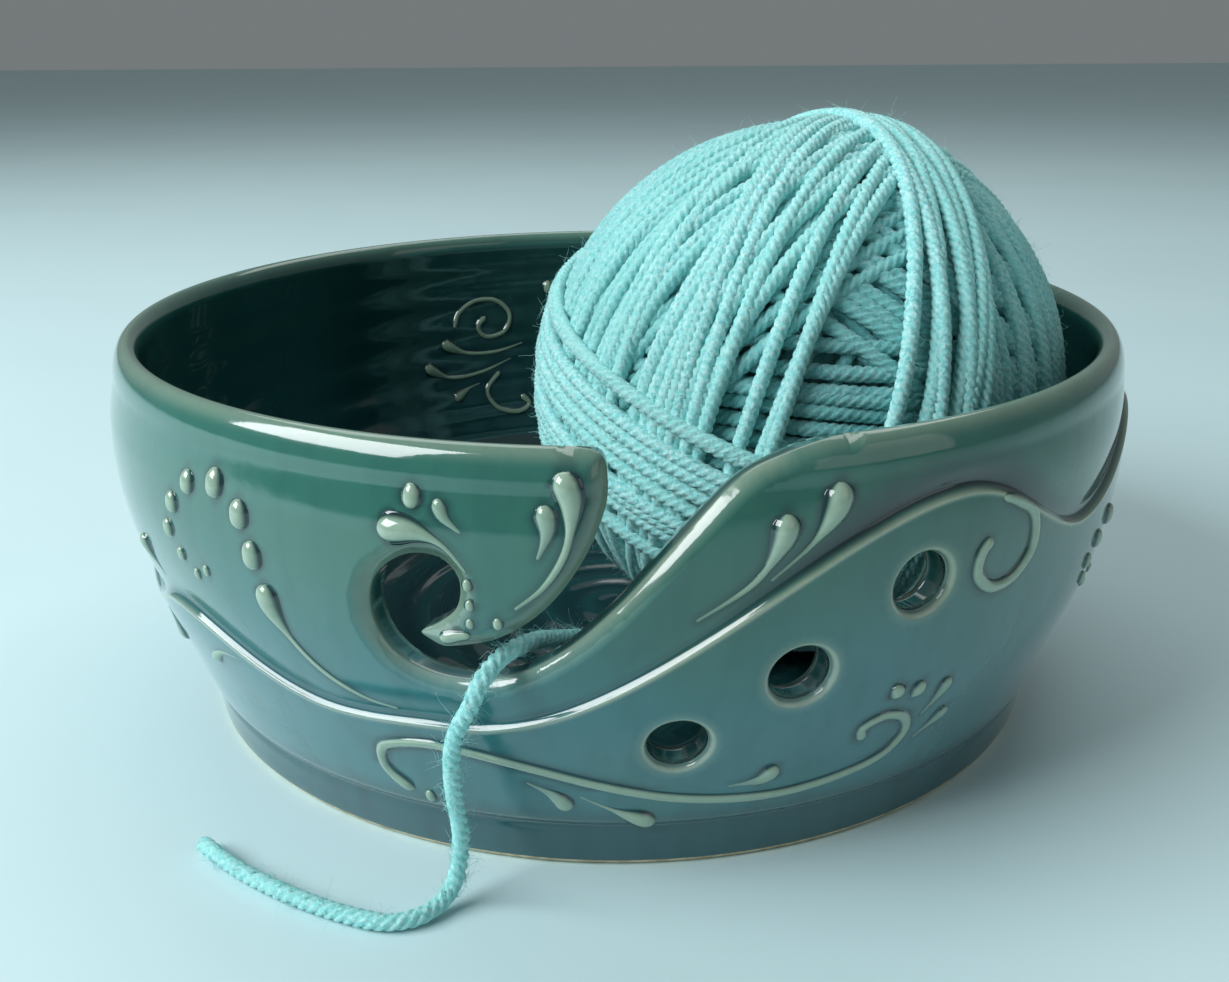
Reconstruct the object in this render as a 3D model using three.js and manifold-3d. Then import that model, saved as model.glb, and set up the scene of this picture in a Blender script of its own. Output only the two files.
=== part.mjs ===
// Yarn bowl: a thrown and carved stoneware bowl with a spiral yarn slot and three needle holes,
// slip-trailed decoration, and the ball of yarn that it holds, with its strand led out of the slot.
// Millimetres, +Z up. The origin is the centre of the foot, on the table. The slot faces -Y.
// Directions round the bowl are angles in degrees from -Y, positive towards +X.

import * as THREE from 'three';
import { mergeVertices } from 'three/addons/utils/BufferGeometryUtils.js';
import Module from 'manifold-3d';

const wasm = await Module();
wasm.setup();

// ---- driving dimensions ----

const CREASE_HEIGHT = 62.3;      // outer edge of the rounded rim
const FOOT_BAND_HEIGHT = 6;      // upright band trimmed above the foot
const FOOT_EDGE_HEIGHT = 0.8;    // unglazed chamfer of the foot
const FOOT_RING_INNER_RADIUS = 68;
const FOOT_RECESS = 2;           // depth of the base inside the foot ring
const FLOOR_HEIGHT = 7;          // inside floor of the bowl

const OUTER_WALL = [             // [height, radius]
  [0.8, 77.7], [6, 78.4], [9, 79.6], [17, 82.4], [30, 87.2], [44, 89.8], [55, 90.2], [62.3, 88.9],
];
const INNER_WALL = [
  [7, 44], [7.6, 56], [10, 65.5], [16, 74], [28, 80.2], [42, 83.4], [54, 84.2], [65, 84.2],
];
const RIM_SECTION = [            // [radius, height] over the rounded rim, from outside to inside
  [88.4, 65.2], [87, 67.5], [86, 67.8], [84.8, 67],
];

const WAVE_DEPTH = 1.7;          // how far the wall is carved back above the wave line
const WAVE_STEP = 1;             // height over which the wall steps back
const WAVE_FADE = 18;            // height over which the carving runs out again
const WAVE_TURNS = [             // [angle, height] of each crest and trough of the wave line
  [-66, 27], [-50.5, 33], [-28, 25], [-16, 26], [31, 58], [51, 46.5], [75, 56.5],
  [122, 27], [132, 27], [176, 57], [197, 46], [222, 56.5],
];

const HOLE_DIAMETER = 9;
const NEEDLE_HOLES = [[5.2, 24.2], [15.9, 34.9], [26.9, 46.2]];   // [angle, height]

const YARN_DIAMETER = 2.6;
const BALL_DIAMETER = 95;
const BALL_PLACE = [32.8, -10];    // the ball leans on the wall at the right of the slot
const CLEARANCE = 0.4;           // between the ball and what it rests on
const SLIP_GAP = 0.3;            // under each slip trail

const COLUMNS = 72;
const DEGREE = Math.PI / 180;

// ---- materials ----

const glaze = new THREE.MeshStandardMaterial({ color: 0x3f7f80, roughness: 0.15, metalness: 0 });
const slipGlaze = new THREE.MeshStandardMaterial({ color: 0xa9c4b4, roughness: 0.2, metalness: 0 });
const yarn = new THREE.MeshStandardMaterial({ color: 0x8fd9d8, roughness: 0.95, metalness: 0 });

// ---- the bowl's surfaces ----

/** Radius at a height, on a smooth curve through [height, radius] points. */
function radiusOn(points, height) {
  const last = points.length - 1;
  let i = points.findIndex((point) => point[0] > height) - 1;
  if (i < 0) i = height <= points[0][0] ? 0 : last - 1;
  const slope = (k) => {
    const before = points[Math.max(k - 1, 0)];
    const after = points[Math.min(k + 1, last)];
    return (after[1] - before[1]) / (after[0] - before[0]);
  };
  const [h0, r0] = points[i];
  const [h1, r1] = points[i + 1];
  const span = h1 - h0;
  const t = THREE.MathUtils.clamp((height - h0) / span, 0, 1);
  const bend0 = slope(i) * span;
  const bend1 = slope(i + 1) * span;
  return r0 + t * bend0
    + t * t * (3 * (r1 - r0) - 2 * bend0 - bend1)
    + t * t * t * (2 * (r0 - r1) + bend0 + bend1);
}

/** Height of the carved wave line at an angle round the bowl. */
function waveHeight(angle) {
  const first = WAVE_TURNS[0][0];
  const wrapped = first + THREE.MathUtils.euclideanModulo(angle - first, 360);
  const i = WAVE_TURNS.findLastIndex((turn) => turn[0] <= wrapped);
  const [a0, z0] = WAVE_TURNS[i];
  const [a1, z1] = WAVE_TURNS[i + 1] ?? [first + 360, WAVE_TURNS[0][1]];
  const t = (wrapped - a0) / (a1 - a0);
  return z0 + (z1 - z0) * (1 - Math.cos(Math.PI * t)) / 2;
}

/** Radius of the outside wall: carved back above the wave line, and whole again higher up. */
function outerRadius(angle, height) {
  const line = waveHeight(angle);
  const fade = Math.min(WAVE_FADE, CREASE_HEIGHT - line - WAVE_STEP);
  const above = (height - line - WAVE_STEP) / fade;
  const step = THREE.MathUtils.smoothstep(height, line, line + WAVE_STEP);
  const carved = WAVE_DEPTH * step * (1 - THREE.MathUtils.clamp(above, 0, 1)) ** 2;
  return radiusOn(OUTER_WALL, height) - carved;
}

const innerRadius = (angle, height) => radiusOn(INNER_WALL, height);

/** A point at an angle, radius and height. */
function polar(angle, radius, height) {
  return new THREE.Vector3(radius * Math.sin(angle * DEGREE), -radius * Math.cos(angle * DEGREE), height);
}

// ---- closed meshes and booleans ----

function indexedGeometry(positions, triangles) {
  const geometry = new THREE.BufferGeometry();
  geometry.setAttribute('position', new THREE.Float32BufferAttribute(positions, 3));
  geometry.setIndex(triangles);
  return geometry;
}

function toSolid(geometry) {
  const bare = geometry.clone();
  bare.deleteAttribute('normal');
  bare.deleteAttribute('uv');
  const welded = mergeVertices(bare, 1e-4);
  return new wasm.Manifold(new wasm.Mesh({
    numProp: 3,
    vertProperties: welded.attributes.position.array,
    triVerts: new Uint32Array(welded.index.array),
  }));
}

function toGeometry(solid) {
  const mesh = solid.getMesh();
  const geometry = indexedGeometry(mesh.vertProperties, Array.from(mesh.triVerts));
  geometry.computeVertexNormals();
  return geometry;
}

/** A closed solid lofted through equal rings of points. Each end closes on its ring's centre. */
function loft(rings) {
  const count = rings[0].length;
  const centre = (ring) => ring.reduce((sum, point) => sum.add(point), new THREE.Vector3()).divideScalar(count);
  const points = [...rings.flat(), centre(rings[0]), centre(rings.at(-1))];
  const startCentre = points.length - 2;
  const endCentre = points.length - 1;
  const lastRing = (rings.length - 1) * count;
  const triangles = [];
  for (let k = 0; k < count; k += 1) {
    const next = (k + 1) % count;
    for (let ring = 0; ring < lastRing; ring += count) {
      triangles.push(ring + k, ring + next, ring + count + k);
      triangles.push(ring + next, ring + count + next, ring + count + k);
    }
    triangles.push(startCentre, next, k);
    triangles.push(endCentre, lastRing + k, lastRing + next);
  }
  return indexedGeometry(points.flatMap((point) => point.toArray()), triangles);
}

// ---- the bowl body ----

/** Rows of [radius, height] down one column: from the recessed base, out, up, over the rim and in. */
function bowlColumn(angle) {
  const line = waveHeight(angle);
  const stepTop = line + WAVE_STEP;
  const between = (low, high, t) => low + (high - low) * t;
  const belowLine = [0.25, 0.5, 0.75, 1].map((t) => between(9, line, t));
  const aboveLine = [0, 0.15, 0.4, 0.7, 1].map((t) => between(stepTop, CREASE_HEIGHT, t));
  const wallHeights = [FOOT_EDGE_HEIGHT, FOOT_BAND_HEIGHT, 9, ...belowLine, ...aboveLine];
  return [
    [FOOT_RING_INNER_RADIUS - FOOT_RECESS, FOOT_RECESS],
    [FOOT_RING_INNER_RADIUS, 0],
    [OUTER_WALL[0][1] - FOOT_EDGE_HEIGHT, 0],
    ...wallHeights.map((height) => [outerRadius(angle, height), height]),
    ...RIM_SECTION,
    ...innerHeights().map((height) => [innerRadius(angle, height), height]).reverse(),
  ];
}

/** Heights of the rows down the inside wall: those given, and one halfway between each pair. */
function innerHeights() {
  const given = INNER_WALL.map(([height]) => height);
  const halfway = given.slice(1).map((height, i) => (height + given[i]) / 2);
  return [...given, ...halfway].sort((a, b) => a - b);
}

function thrownBowl() {
  const columns = [];
  for (let i = 0; i < COLUMNS; i += 1) {
    const angle = i * 360 / COLUMNS;
    columns.push(bowlColumn(angle).map(([radius, height]) => polar(angle, radius, height)));
  }
  const rows = columns[0].map((_, row) => columns.map((column) => column[row]));
  return toSolid(loft(rows));
}

/** A cutter through the wall: an outline in [angle, height], spread along the radius. */
function radialCutter(outline) {
  const ring = (radius) => outline.map(([angle, height]) => polar(angle, radius, height));
  const inner = ring(70);
  const outer = ring(100);
  const count = outline.length;
  const flat = outline.map(([angle, height]) => new THREE.Vector2(angle, height));
  const faces = THREE.ShapeUtils.triangulateShape(flat, []);
  const clockwise = THREE.ShapeUtils.isClockWise(flat);
  const triangles = [];
  const addFace = (a, b, c) => triangles.push(...(clockwise ? [a, c, b] : [a, b, c]));
  for (const [a, b, c] of faces) {
    const turned = flat[b].clone().sub(flat[a]).cross(flat[c].clone().sub(flat[a])) < 0;
    const [p, q] = turned !== clockwise ? [c, b] : [b, c];
    addFace(a + count, p + count, q + count);
    addFace(a, q, p);
  }
  for (let k = 0; k < count; k += 1) {
    const next = (k + 1) % count;
    addFace(k, next, next + count);
    addFace(k, next + count, k + count);
  }
  return toSolid(indexedGeometry([...inner, ...outer].flatMap((point) => point.toArray()), triangles));
}

/** The yarn slot: down from the rim between two lips, under the hook, and round into the eye. */
function slotOutline() {
  const rightLip = [
    [14.4, 66.6], [9.6, 63.2], [4.6, 55.6], [-0.4, 46.7], [-5.3, 39.5], [-10.5, 35], [-16, 34.2],
    [-20.2, 36.8], [-22.2, 42.6], [-21.6, 48.6], [-18.6, 52.6], [-15.4, 53], [-13.6, 50.2],
    [-13.9, 46], [-15.9, 43], [-17.8, 41.5],
  ];
  const hook = [[-15.6, 39.5], [-10.7, 41.6], [-6.5, 46.3], [-3.3, 53], [-1.3, 60.2], [-1.1, 64.8]];
  const smooth = (points, pieces) => {
    const curve = new THREE.SplineCurve(points.map(([angle, height]) => new THREE.Vector2(angle, height)));
    return curve.getPoints(pieces).map((point) => [point.x, point.y]);
  };
  return [[17.4, 75], ...smooth(rightLip, 36), ...smooth(hook, 14), [-1.4, 75]];
}

function roundOutline([angle, height], diameter, sides) {
  const wallRadius = outerRadius(angle, height);
  return Array.from({ length: sides }, (_, k) => {
    const turn = k * 2 * Math.PI / sides;
    const across = diameter / 2 * Math.cos(turn);
    return [angle + across / wallRadius / DEGREE, height + diameter / 2 * Math.sin(turn)];
  });
}

function bowlBody() {
  let solid = thrownBowl().subtract(radialCutter(slotOutline()));
  for (const place of NEEDLE_HOLES) {
    solid = solid.subtract(radialCutter(roundOutline(place, HOLE_DIAMETER, 20)));
  }
  return toGeometry(solid);
}

// ---- slip trails ----

/** How wide a round-ended trail is at a distance from its end, against its full width. */
function roundEnd(distance, halfWidth) {
  const t = Math.min(distance / halfWidth, 1);
  return Math.sqrt(1 - (1 - t) ** 2);
}

/**
 * A bead of slip along a line of [angle, height] points on a wall: a round head at the first point,
 * narrowing to a tail. It is domed, and its underside follows the wall.
 */
function slipTrail({ points, head, tail, wall, outward }) {
  const meanRadius = wall(points[0][0], points[0][1]);
  const toFlat = ([angle, height]) => new THREE.Vector2(angle * DEGREE * meanRadius, height);
  const line = new THREE.SplineCurve(points.map(toFlat));
  const length = line.getLength();
  const endInset = 0.12;
  const middle = Math.max(1, Math.round((length - head / 2 - tail / 2) / 3.5));
  const distances = [endInset * head / 2, 0.5 * head / 2];
  for (let k = 0; k <= middle; k += 1) {
    distances.push(head / 2 + (length - head / 2 - tail / 2) * k / middle);
  }
  distances.push(length - 0.5 * tail / 2, length - endInset * tail / 2);

  const onWall = (flat, lift) => {
    const angle = flat.x / meanRadius / DEGREE;
    return polar(angle, wall(angle, flat.y) + outward * lift, flat.y);
  };
  const section = [[-1, 0], [-0.7, 0.7], [0, 1], [0.7, 0.7], [1, 0], [0, 0]];
  const rings = distances.map((distance) => {
    const at = distance / length;
    const centre = line.getPointAt(at);
    const along = line.getTangentAt(at);
    const across = new THREE.Vector2(along.y, -along.x);
    const narrowing = THREE.MathUtils.smoothstep(distance, head / 2, Math.min(length, head * 2.2));
    const width = THREE.MathUtils.lerp(head, tail, narrowing) / 2;
    const half = width * Math.min(roundEnd(distance, head / 2), roundEnd(length - distance, tail / 2));
    return section.map(([side, rise]) => {
      const flat = centre.clone().addScaledVector(across, side * half);
      return onWall(flat, SLIP_GAP + rise * half * 0.75);
    });
  });
  if (outward < 0) rings.reverse();
  return loft(rings);
}

const outside = { wall: outerRadius, outward: 1 };
const inside = { wall: innerRadius, outward: -1 };

/** A dot of slip is a short upright trail, as round as it is wide. */
function slipDot([angle, height, diameter], surface) {
  const half = diameter * 0.55;
  return slipTrail({
    points: [[angle, height + half], [angle, height], [angle, height - half]],
    head: diameter,
    tail: diameter,
    ...surface,
  });
}

// Rows of dots: [angle, height, diameter].
const DOT_ROWS = {
  left_spiral_dot: [
    [-34.1, 48.7, 4], [-35.2, 54.4, 4], [-38.5, 57.8, 4], [-42.7, 56.5, 3.4], [-45.8, 52.3, 3.2],
    [-47.5, 47.5, 2.8], [-46.1, 43.8, 2.2], [-43.9, 41.5, 1.8], [-41.8, 43, 1.8],
  ],
  hook_dot: [[-17.3, 61.1, 3], [-12.6, 49.9, 1.6], [-12.5, 47, 1.5], [-12.6, 44.3, 1.4], [-10.2, 44.6, 1.6]],
  tendril_dot: [[-20.4, 10.6, 2.2], [-17.9, 10.9, 2.6]],
  right_spiral_dot: [
    [62, 41.5, 3.4], [58.6, 39, 3], [56.8, 36, 2.6], [57.4, 32.6, 2.2], [60.2, 30.2, 1.8], [63.4, 30.8, 1.8],
  ],
  inner_spiral_dot: [[-168.3, 54.6, 3]],
};

// Single trails: a head and a tail diameter, and the line that the trail follows.
const OUTER_TRAILS = {
  left_spiral_drop: {
    head: 4.2,
    tail: 1.6,
    points: [[-33.2, 44.6], [-32.8, 40.6], [-31, 35.6], [-28.2, 31.2], [-24.6, 28.2], [-21.4, 27.4]],
  },
  left_wave_drop: { head: 3.4, tail: 1.4, points: [[-57.4, 41.5], [-57.2, 38], [-55.4, 34.8]] },
  left_wave_arch: { head: 2.4, tail: 1.4, points: [[-47, 24.6], [-44.4, 27.4], [-41.4, 28]] },
  left_base_drop: { head: 3.2, tail: 1.4, points: [[-59, 20.5], [-59.5, 24], [-59, 27.4]] },
  hook_comma: { head: 4.2, tail: 1.7, points: [[-20.3, 56.6], [-17.2, 56.7], [-14.5, 55], [-12.6, 51.6]] },
  hook_drop: { head: 3, tail: 1.5, points: [[-15.1, 61], [-14.5, 58.8], [-13, 56.9]] },
  hook_tip_bead: { head: 2.2, tail: 1.4, points: [[-15.4, 41.5], [-13.9, 42.2], [-12.7, 42.5]] },
  tongue_long_drop: { head: 4, tail: 1.6, points: [[-4.8, 65.2], [-4, 61], [-4.4, 55.4], [-6.2, 50.4], [-8.7, 46.9]] },
  tongue_short_drop: { head: 3.6, tail: 1.6, points: [[-6.2, 61], [-5.9, 57.5], [-6.7, 54]] },
  lip_long_drop: { head: 4.2, tail: 1.8, points: [[18.3, 62.4], [17.9, 59.2], [15.9, 54.7], [12.4, 49.8]] },
  lip_short_drop: { head: 3.8, tail: 1.8, points: [[13.6, 59], [13.1, 55.2], [10.9, 49.8], [6.2, 44.8]] },
  wave_curl: {
    head: 1.9,
    tail: 2.4,
    points: [
      [39.4, 52.3], [40.2, 49.9], [40.1, 46.3], [38, 43.1], [35.2, 42.7], [33, 45.3], [33, 48.6], [34.2, 50.6],
    ],
  },
  tendril: {
    head: 3.4,
    tail: 2.2,
    points: [
      [-22.2, 11.2], [-24.8, 15.2], [-24, 19.8], [-19.4, 22], [-14.7, 21.6], [-8.8, 19.6], [-2.2, 16.6],
      [3.7, 14.2], [9.6, 12.8], [15.6, 12.3], [22, 13.2], [27.4, 15.2], [29.6, 18.8], [28.9, 22.4],
      [26.3, 24.2], [23.8, 22.8], [24.3, 20.2],
    ],
  },
  tendril_upper_drop: { head: 3.4, tail: 1.5, points: [[33, 28.3], [32.2, 24.6], [31.2, 21.8]] },
  tendril_lower_drop: { head: 3.2, tail: 1.5, points: [[34.9, 21.5], [33.5, 19.1], [31.6, 16.9]] },
  tendril_left_bead: { head: 2.8, tail: 1.8, points: [[26, 30], [26.8, 27.4]] },
  tendril_right_bead: { head: 2.8, tail: 1.8, points: [[29.4, 29.4], [28.6, 26.6]] },
  tendril_rising_drop: { head: 3.6, tail: 1.5, points: [[15.4, 18.1], [13.9, 15.9], [10.6, 15.1]] },
  tendril_first_hanging_drop: { head: 3.6, tail: 1.4, points: [[-5.2, 11.4], [-6.8, 14.2], [-9.4, 16.4]] },
  tendril_second_hanging_drop: { head: 3.6, tail: 1.4, points: [[3.4, 8.6], [-0.2, 10.9], [-4.2, 14.1]] },
  back_tendril: {
    head: 3.2,
    tail: 2,
    points: [
      [150, 14.4], [158, 12.4], [168, 13.6], [178, 17.4], [188, 22], [197, 23.6], [204, 20.8],
      [204, 16.2], [199.6, 15.8],
    ],
  },
  back_upper_drop: { head: 3.4, tail: 1.5, points: [[185, 32], [183.5, 28], [180, 24.4]] },
  back_lower_drop: { head: 3.4, tail: 1.5, points: [[191, 33.4], [190.2, 29.6], [187, 26]] },
  back_hanging_drop: { head: 3.2, tail: 1.4, points: [[171, 9.4], [167.5, 9.6], [163.4, 9.8]] },
  back_rising_drop: { head: 3.6, tail: 1.5, points: [[172, 24], [169.5, 20.6], [165.5, 17.8]] },
};

const INNER_TRAILS = {
  inner_upper_spiral: {
    head: 2.4,
    tail: 1.6,
    points: [
      [-157.4, 48.4], [-156, 46], [-157.4, 43.4], [-160.6, 44.4], [-161.6, 48.6], [-159.4, 52],
      [-155.8, 52.4], [-152.8, 49.8], [-151.8, 46.2],
    ],
  },
  inner_lower_spiral: {
    head: 2.4,
    tail: 1.6,
    points: [[-162.6, 28.6], [-164, 26.4], [-161.6, 24.9], [-158, 26.4], [-156.6, 30.6], [-159.2, 34.6]],
  },
  inner_first_drop: { head: 3.2, tail: 1.5, points: [[-149.4, 43], [-153.6, 40], [-158.8, 39.6], [-163.6, 41.2]] },
  inner_second_drop: { head: 3.2, tail: 1.5, points: [[-145.8, 38], [-150.2, 34.6], [-156, 35], [-161.4, 37.6]] },
  inner_third_drop: { head: 3, tail: 1.5, points: [[-150.4, 29.2], [-153.2, 31.4], [-155.4, 32.4]] },
};

/** [name, geometry] of every slip trail and dot. */
function slipPieces() {
  const pieces = [];
  for (const [row, dots] of Object.entries(DOT_ROWS)) {
    const surface = row.startsWith('inner') ? inside : outside;
    dots.forEach((dot, i) => pieces.push([`${row}_${i + 1}`, slipDot(dot, surface)]));
  }
  for (const [name, trail] of Object.entries(OUTER_TRAILS)) {
    pieces.push([name, slipTrail({ ...trail, ...outside })]);
  }
  for (const [name, trail] of Object.entries(INNER_TRAILS)) {
    pieces.push([name, slipTrail({ ...trail, ...inside })]);
  }
  return pieces;
}

// ---- the yarn ----

function ballCentre() {
  return new THREE.Vector3(...BALL_PLACE, FLOOR_HEIGHT + CLEARANCE + BALL_DIAMETER / 2);
}

// The strand leaves the underside of the ball, rises over the slot's lower lip, hangs down the
// outside of the bowl and lies on the table, where it ends cut.
const STRAND_ROUTE = [
  [12, -29.5, 15.3], [7.5, -39, 19.5], [2.5, -49, 24], [-3, -60, 28.7], [-8.6, -71, 34],
  [-12.5, -80, 37.9], [-16, -86, 38.5], [-18.3, -89.6, 36.8], [-19.7, -90.6, 33.8], [-21.2, -89.8, 30.8],
  [-22.4, -88.8, 27.3], [-22.9, -88, 22.8], [-22.8, -87.3, 18.1], [-22.4, -86.8, 13.8], [-22.4, -86.4, 9.5],
  [-23, -86.2, 6], [-23.9, -86.8, 3.2], [-25.4, -88.3, 1.8], [-28, -90.8, 1.45], [-32, -92, 1.4],
  [-38, -90.4, 1.4], [-47.5, -85.6, 1.4], [-56.3, -79.6, 1.4], [-62.8, -73.6, 1.4],
];

function strand() {
  const route = new THREE.CatmullRomCurve3(STRAND_ROUTE.map((point) => new THREE.Vector3(...point)));
  const sides = 8;
  const radius = YARN_DIAMETER / 2;
  const section = new THREE.Shape(Array.from({ length: sides }, (_, k) => {
    const turn = (k + 0.5) * 2 * Math.PI / sides;
    return new THREE.Vector2(radius * Math.cos(turn), radius * Math.sin(turn));
  }));
  const steps = Math.round(route.getLength() / (YARN_DIAMETER * 1.2));
  return new THREE.ExtrudeGeometry(section, { steps, extrudePath: route, bevelEnabled: false });
}

// ---- assembly ----

function addPiece(group, name, geometry, material) {
  const piece = new THREE.Mesh(geometry, material);
  piece.name = name;
  group.add(piece);
  return piece;
}

const yarnBowl = new THREE.Group();
addPiece(yarnBowl, 'bowl_body', bowlBody(), glaze);
for (const [name, geometry] of slipPieces()) addPiece(yarnBowl, name, geometry, slipGlaze);

const ball = addPiece(yarnBowl, 'yarn_ball', new THREE.SphereGeometry(BALL_DIAMETER / 2, 28, 18), yarn);
ball.position.copy(ballCentre());
addPiece(yarnBowl, 'yarn_strand', strand(), yarn);

export default yarnBowl;
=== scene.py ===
import math

import bpy
import numpy as np
from mathutils import Matrix, Vector
from mathutils.geometry import delaunay_2d_cdt
from mathutils.kdtree import KDTree


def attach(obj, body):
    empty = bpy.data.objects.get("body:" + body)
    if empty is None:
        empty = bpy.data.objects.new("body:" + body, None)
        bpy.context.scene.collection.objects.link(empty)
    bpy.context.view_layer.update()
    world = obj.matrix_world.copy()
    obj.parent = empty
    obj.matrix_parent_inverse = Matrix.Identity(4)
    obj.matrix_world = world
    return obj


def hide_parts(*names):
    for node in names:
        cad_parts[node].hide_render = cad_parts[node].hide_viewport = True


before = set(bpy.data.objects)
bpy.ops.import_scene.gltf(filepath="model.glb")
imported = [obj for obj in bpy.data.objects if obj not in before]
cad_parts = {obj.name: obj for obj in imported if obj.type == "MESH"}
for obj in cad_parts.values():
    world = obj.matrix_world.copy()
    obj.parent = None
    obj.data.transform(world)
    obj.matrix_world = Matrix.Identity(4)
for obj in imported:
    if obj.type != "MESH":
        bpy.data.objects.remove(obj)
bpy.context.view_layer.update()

# Shapes are worked out in millimetres and made in metres. Directions round the bowl are angles in
# degrees from -Y, positive towards +X, as in the CAD source, whose tables are repeated here.
MM = 0.001
MM_PER_DEGREE = math.radians(88)     # round the wall, for flat work in (mm round, height)


# ---- camera ----

def make_camera():
    data = bpy.data.cameras.new("camera")
    data.lens, data.sensor_width = 38.6, 36
    data.clip_start, data.clip_end = 0.01, 20
    camera = bpy.data.objects.new("camera", data)
    bpy.context.scene.collection.objects.link(camera)
    eye, aim, roll = Vector((-0.8, -241.6, 118.3)), Vector((-0.8, 0, 30.65)), math.radians(-0.35)
    back = (eye - aim).normalized()
    right = Vector((0, 0, 1)).cross(back).normalized()
    up = back.cross(right)
    turned_right = right * math.cos(roll) + up * math.sin(roll)
    turned_up = up * math.cos(roll) - right * math.sin(roll)
    facing = Matrix((turned_right, turned_up, back)).transposed().to_4x4()
    camera.matrix_world = Matrix.Translation(eye * MM) @ facing
    bpy.context.scene.camera = camera


make_camera()


# ---- numbers and curves ----

def smooth(value, low, high):
    t = np.clip((value - low) / (high - low), 0, 1)
    return t * t * (3 - 2 * t)


def bell(value, width):
    return np.exp(-(value / width) ** 2)


def unit(vectors):
    return vectors / np.linalg.norm(vectors, axis=-1, keepdims=True)


def resample(points, step):
    """Points evenly spaced by about step along a line of points, both ends kept."""
    gaps = np.linalg.norm(np.diff(points, axis=0), axis=1)
    along = np.concatenate([[0], np.cumsum(gaps)])
    count = max(2, round(along[-1] / step) + 1)
    wanted = np.linspace(0, along[-1], count)
    return np.stack([np.interp(wanted, along, axis) for axis in points.T], axis=1)


def through(points, step, power=0.0):
    """A smooth curve through points: plain Catmull-Rom, or centripetal with a power of 0.5."""
    p = np.asarray(points, float)
    if power:
        p = np.vstack([2 * p[0] - p[1], p, 2 * p[-1] - p[-2]])
    else:
        p = np.vstack([p[0], p, p[-1]])
    pieces = []
    t = np.linspace(0, 1, 48, endpoint=False)[:, None]
    for a, b, c, d in zip(p, p[1:], p[2:], p[3:]):
        if power:
            ab, bc, cd = (np.linalg.norm(q) ** power for q in (b - a, c - b, d - c))
            start = bc * ((b - a) / ab - (c - a) / (ab + bc) + (c - b) / bc)
            end = bc * ((c - b) / bc - (d - b) / (bc + cd) + (d - c) / cd)
        else:
            start, end = (c - a) / 2, (d - b) / 2
        rise = 3 * (c - b) - 2 * start - end
        pieces.append(b + t * start + t ** 2 * rise + t ** 3 * (2 * (b - c) + start + end))
    pieces.append(p[-2:-1])
    return resample(np.vstack(pieces), step)


def value_noise(seed, count):
    """A smooth random function of an angle in radians, about -1 to 1, with count waves at most."""
    rng = np.random.default_rng(seed)
    waves = np.arange(1, count + 1)
    sizes, turns = rng.normal(0, 1, count) / np.sqrt(waves), rng.uniform(0, 2 * np.pi, count)
    scale = 2 * np.sqrt((sizes ** 2).sum() / 2)
    return lambda angle: sum(s * np.cos(w * angle + t) for s, w, t in zip(sizes, waves, turns)) / scale


# ---- meshes ----

def new_mesh(name, points, faces, attributes=None):
    """An object from points in mm and arrays of faces, each array with one number of corners."""
    mesh = bpy.data.meshes.new(name)
    mesh.vertices.add(len(points))
    mesh.vertices.foreach_set("co", (np.asarray(points) * MM).astype(np.float32).ravel())
    faces = [np.asarray(f) for f in faces if len(f)]
    corners = np.concatenate([f.ravel() for f in faces]).astype(np.int32)
    sizes = np.concatenate([np.full(len(f), f.shape[1]) for f in faces])
    mesh.loops.add(len(corners))
    mesh.loops.foreach_set("vertex_index", corners)
    mesh.polygons.add(len(sizes))
    starts = np.concatenate([[0], np.cumsum(sizes)[:-1]]).astype(np.int32)
    mesh.polygons.foreach_set("loop_start", starts)
    mesh.update(calc_edges=True)
    mesh.validate()
    for key, values in (attributes or {}).items():
        layer = mesh.attributes.new(key, "FLOAT", "POINT")
        layer.data.foreach_set("value", np.asarray(values, np.float32))
    mesh.shade_smooth()
    made = bpy.data.objects.new(name, mesh)
    bpy.context.scene.collection.objects.link(made)
    return made


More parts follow.
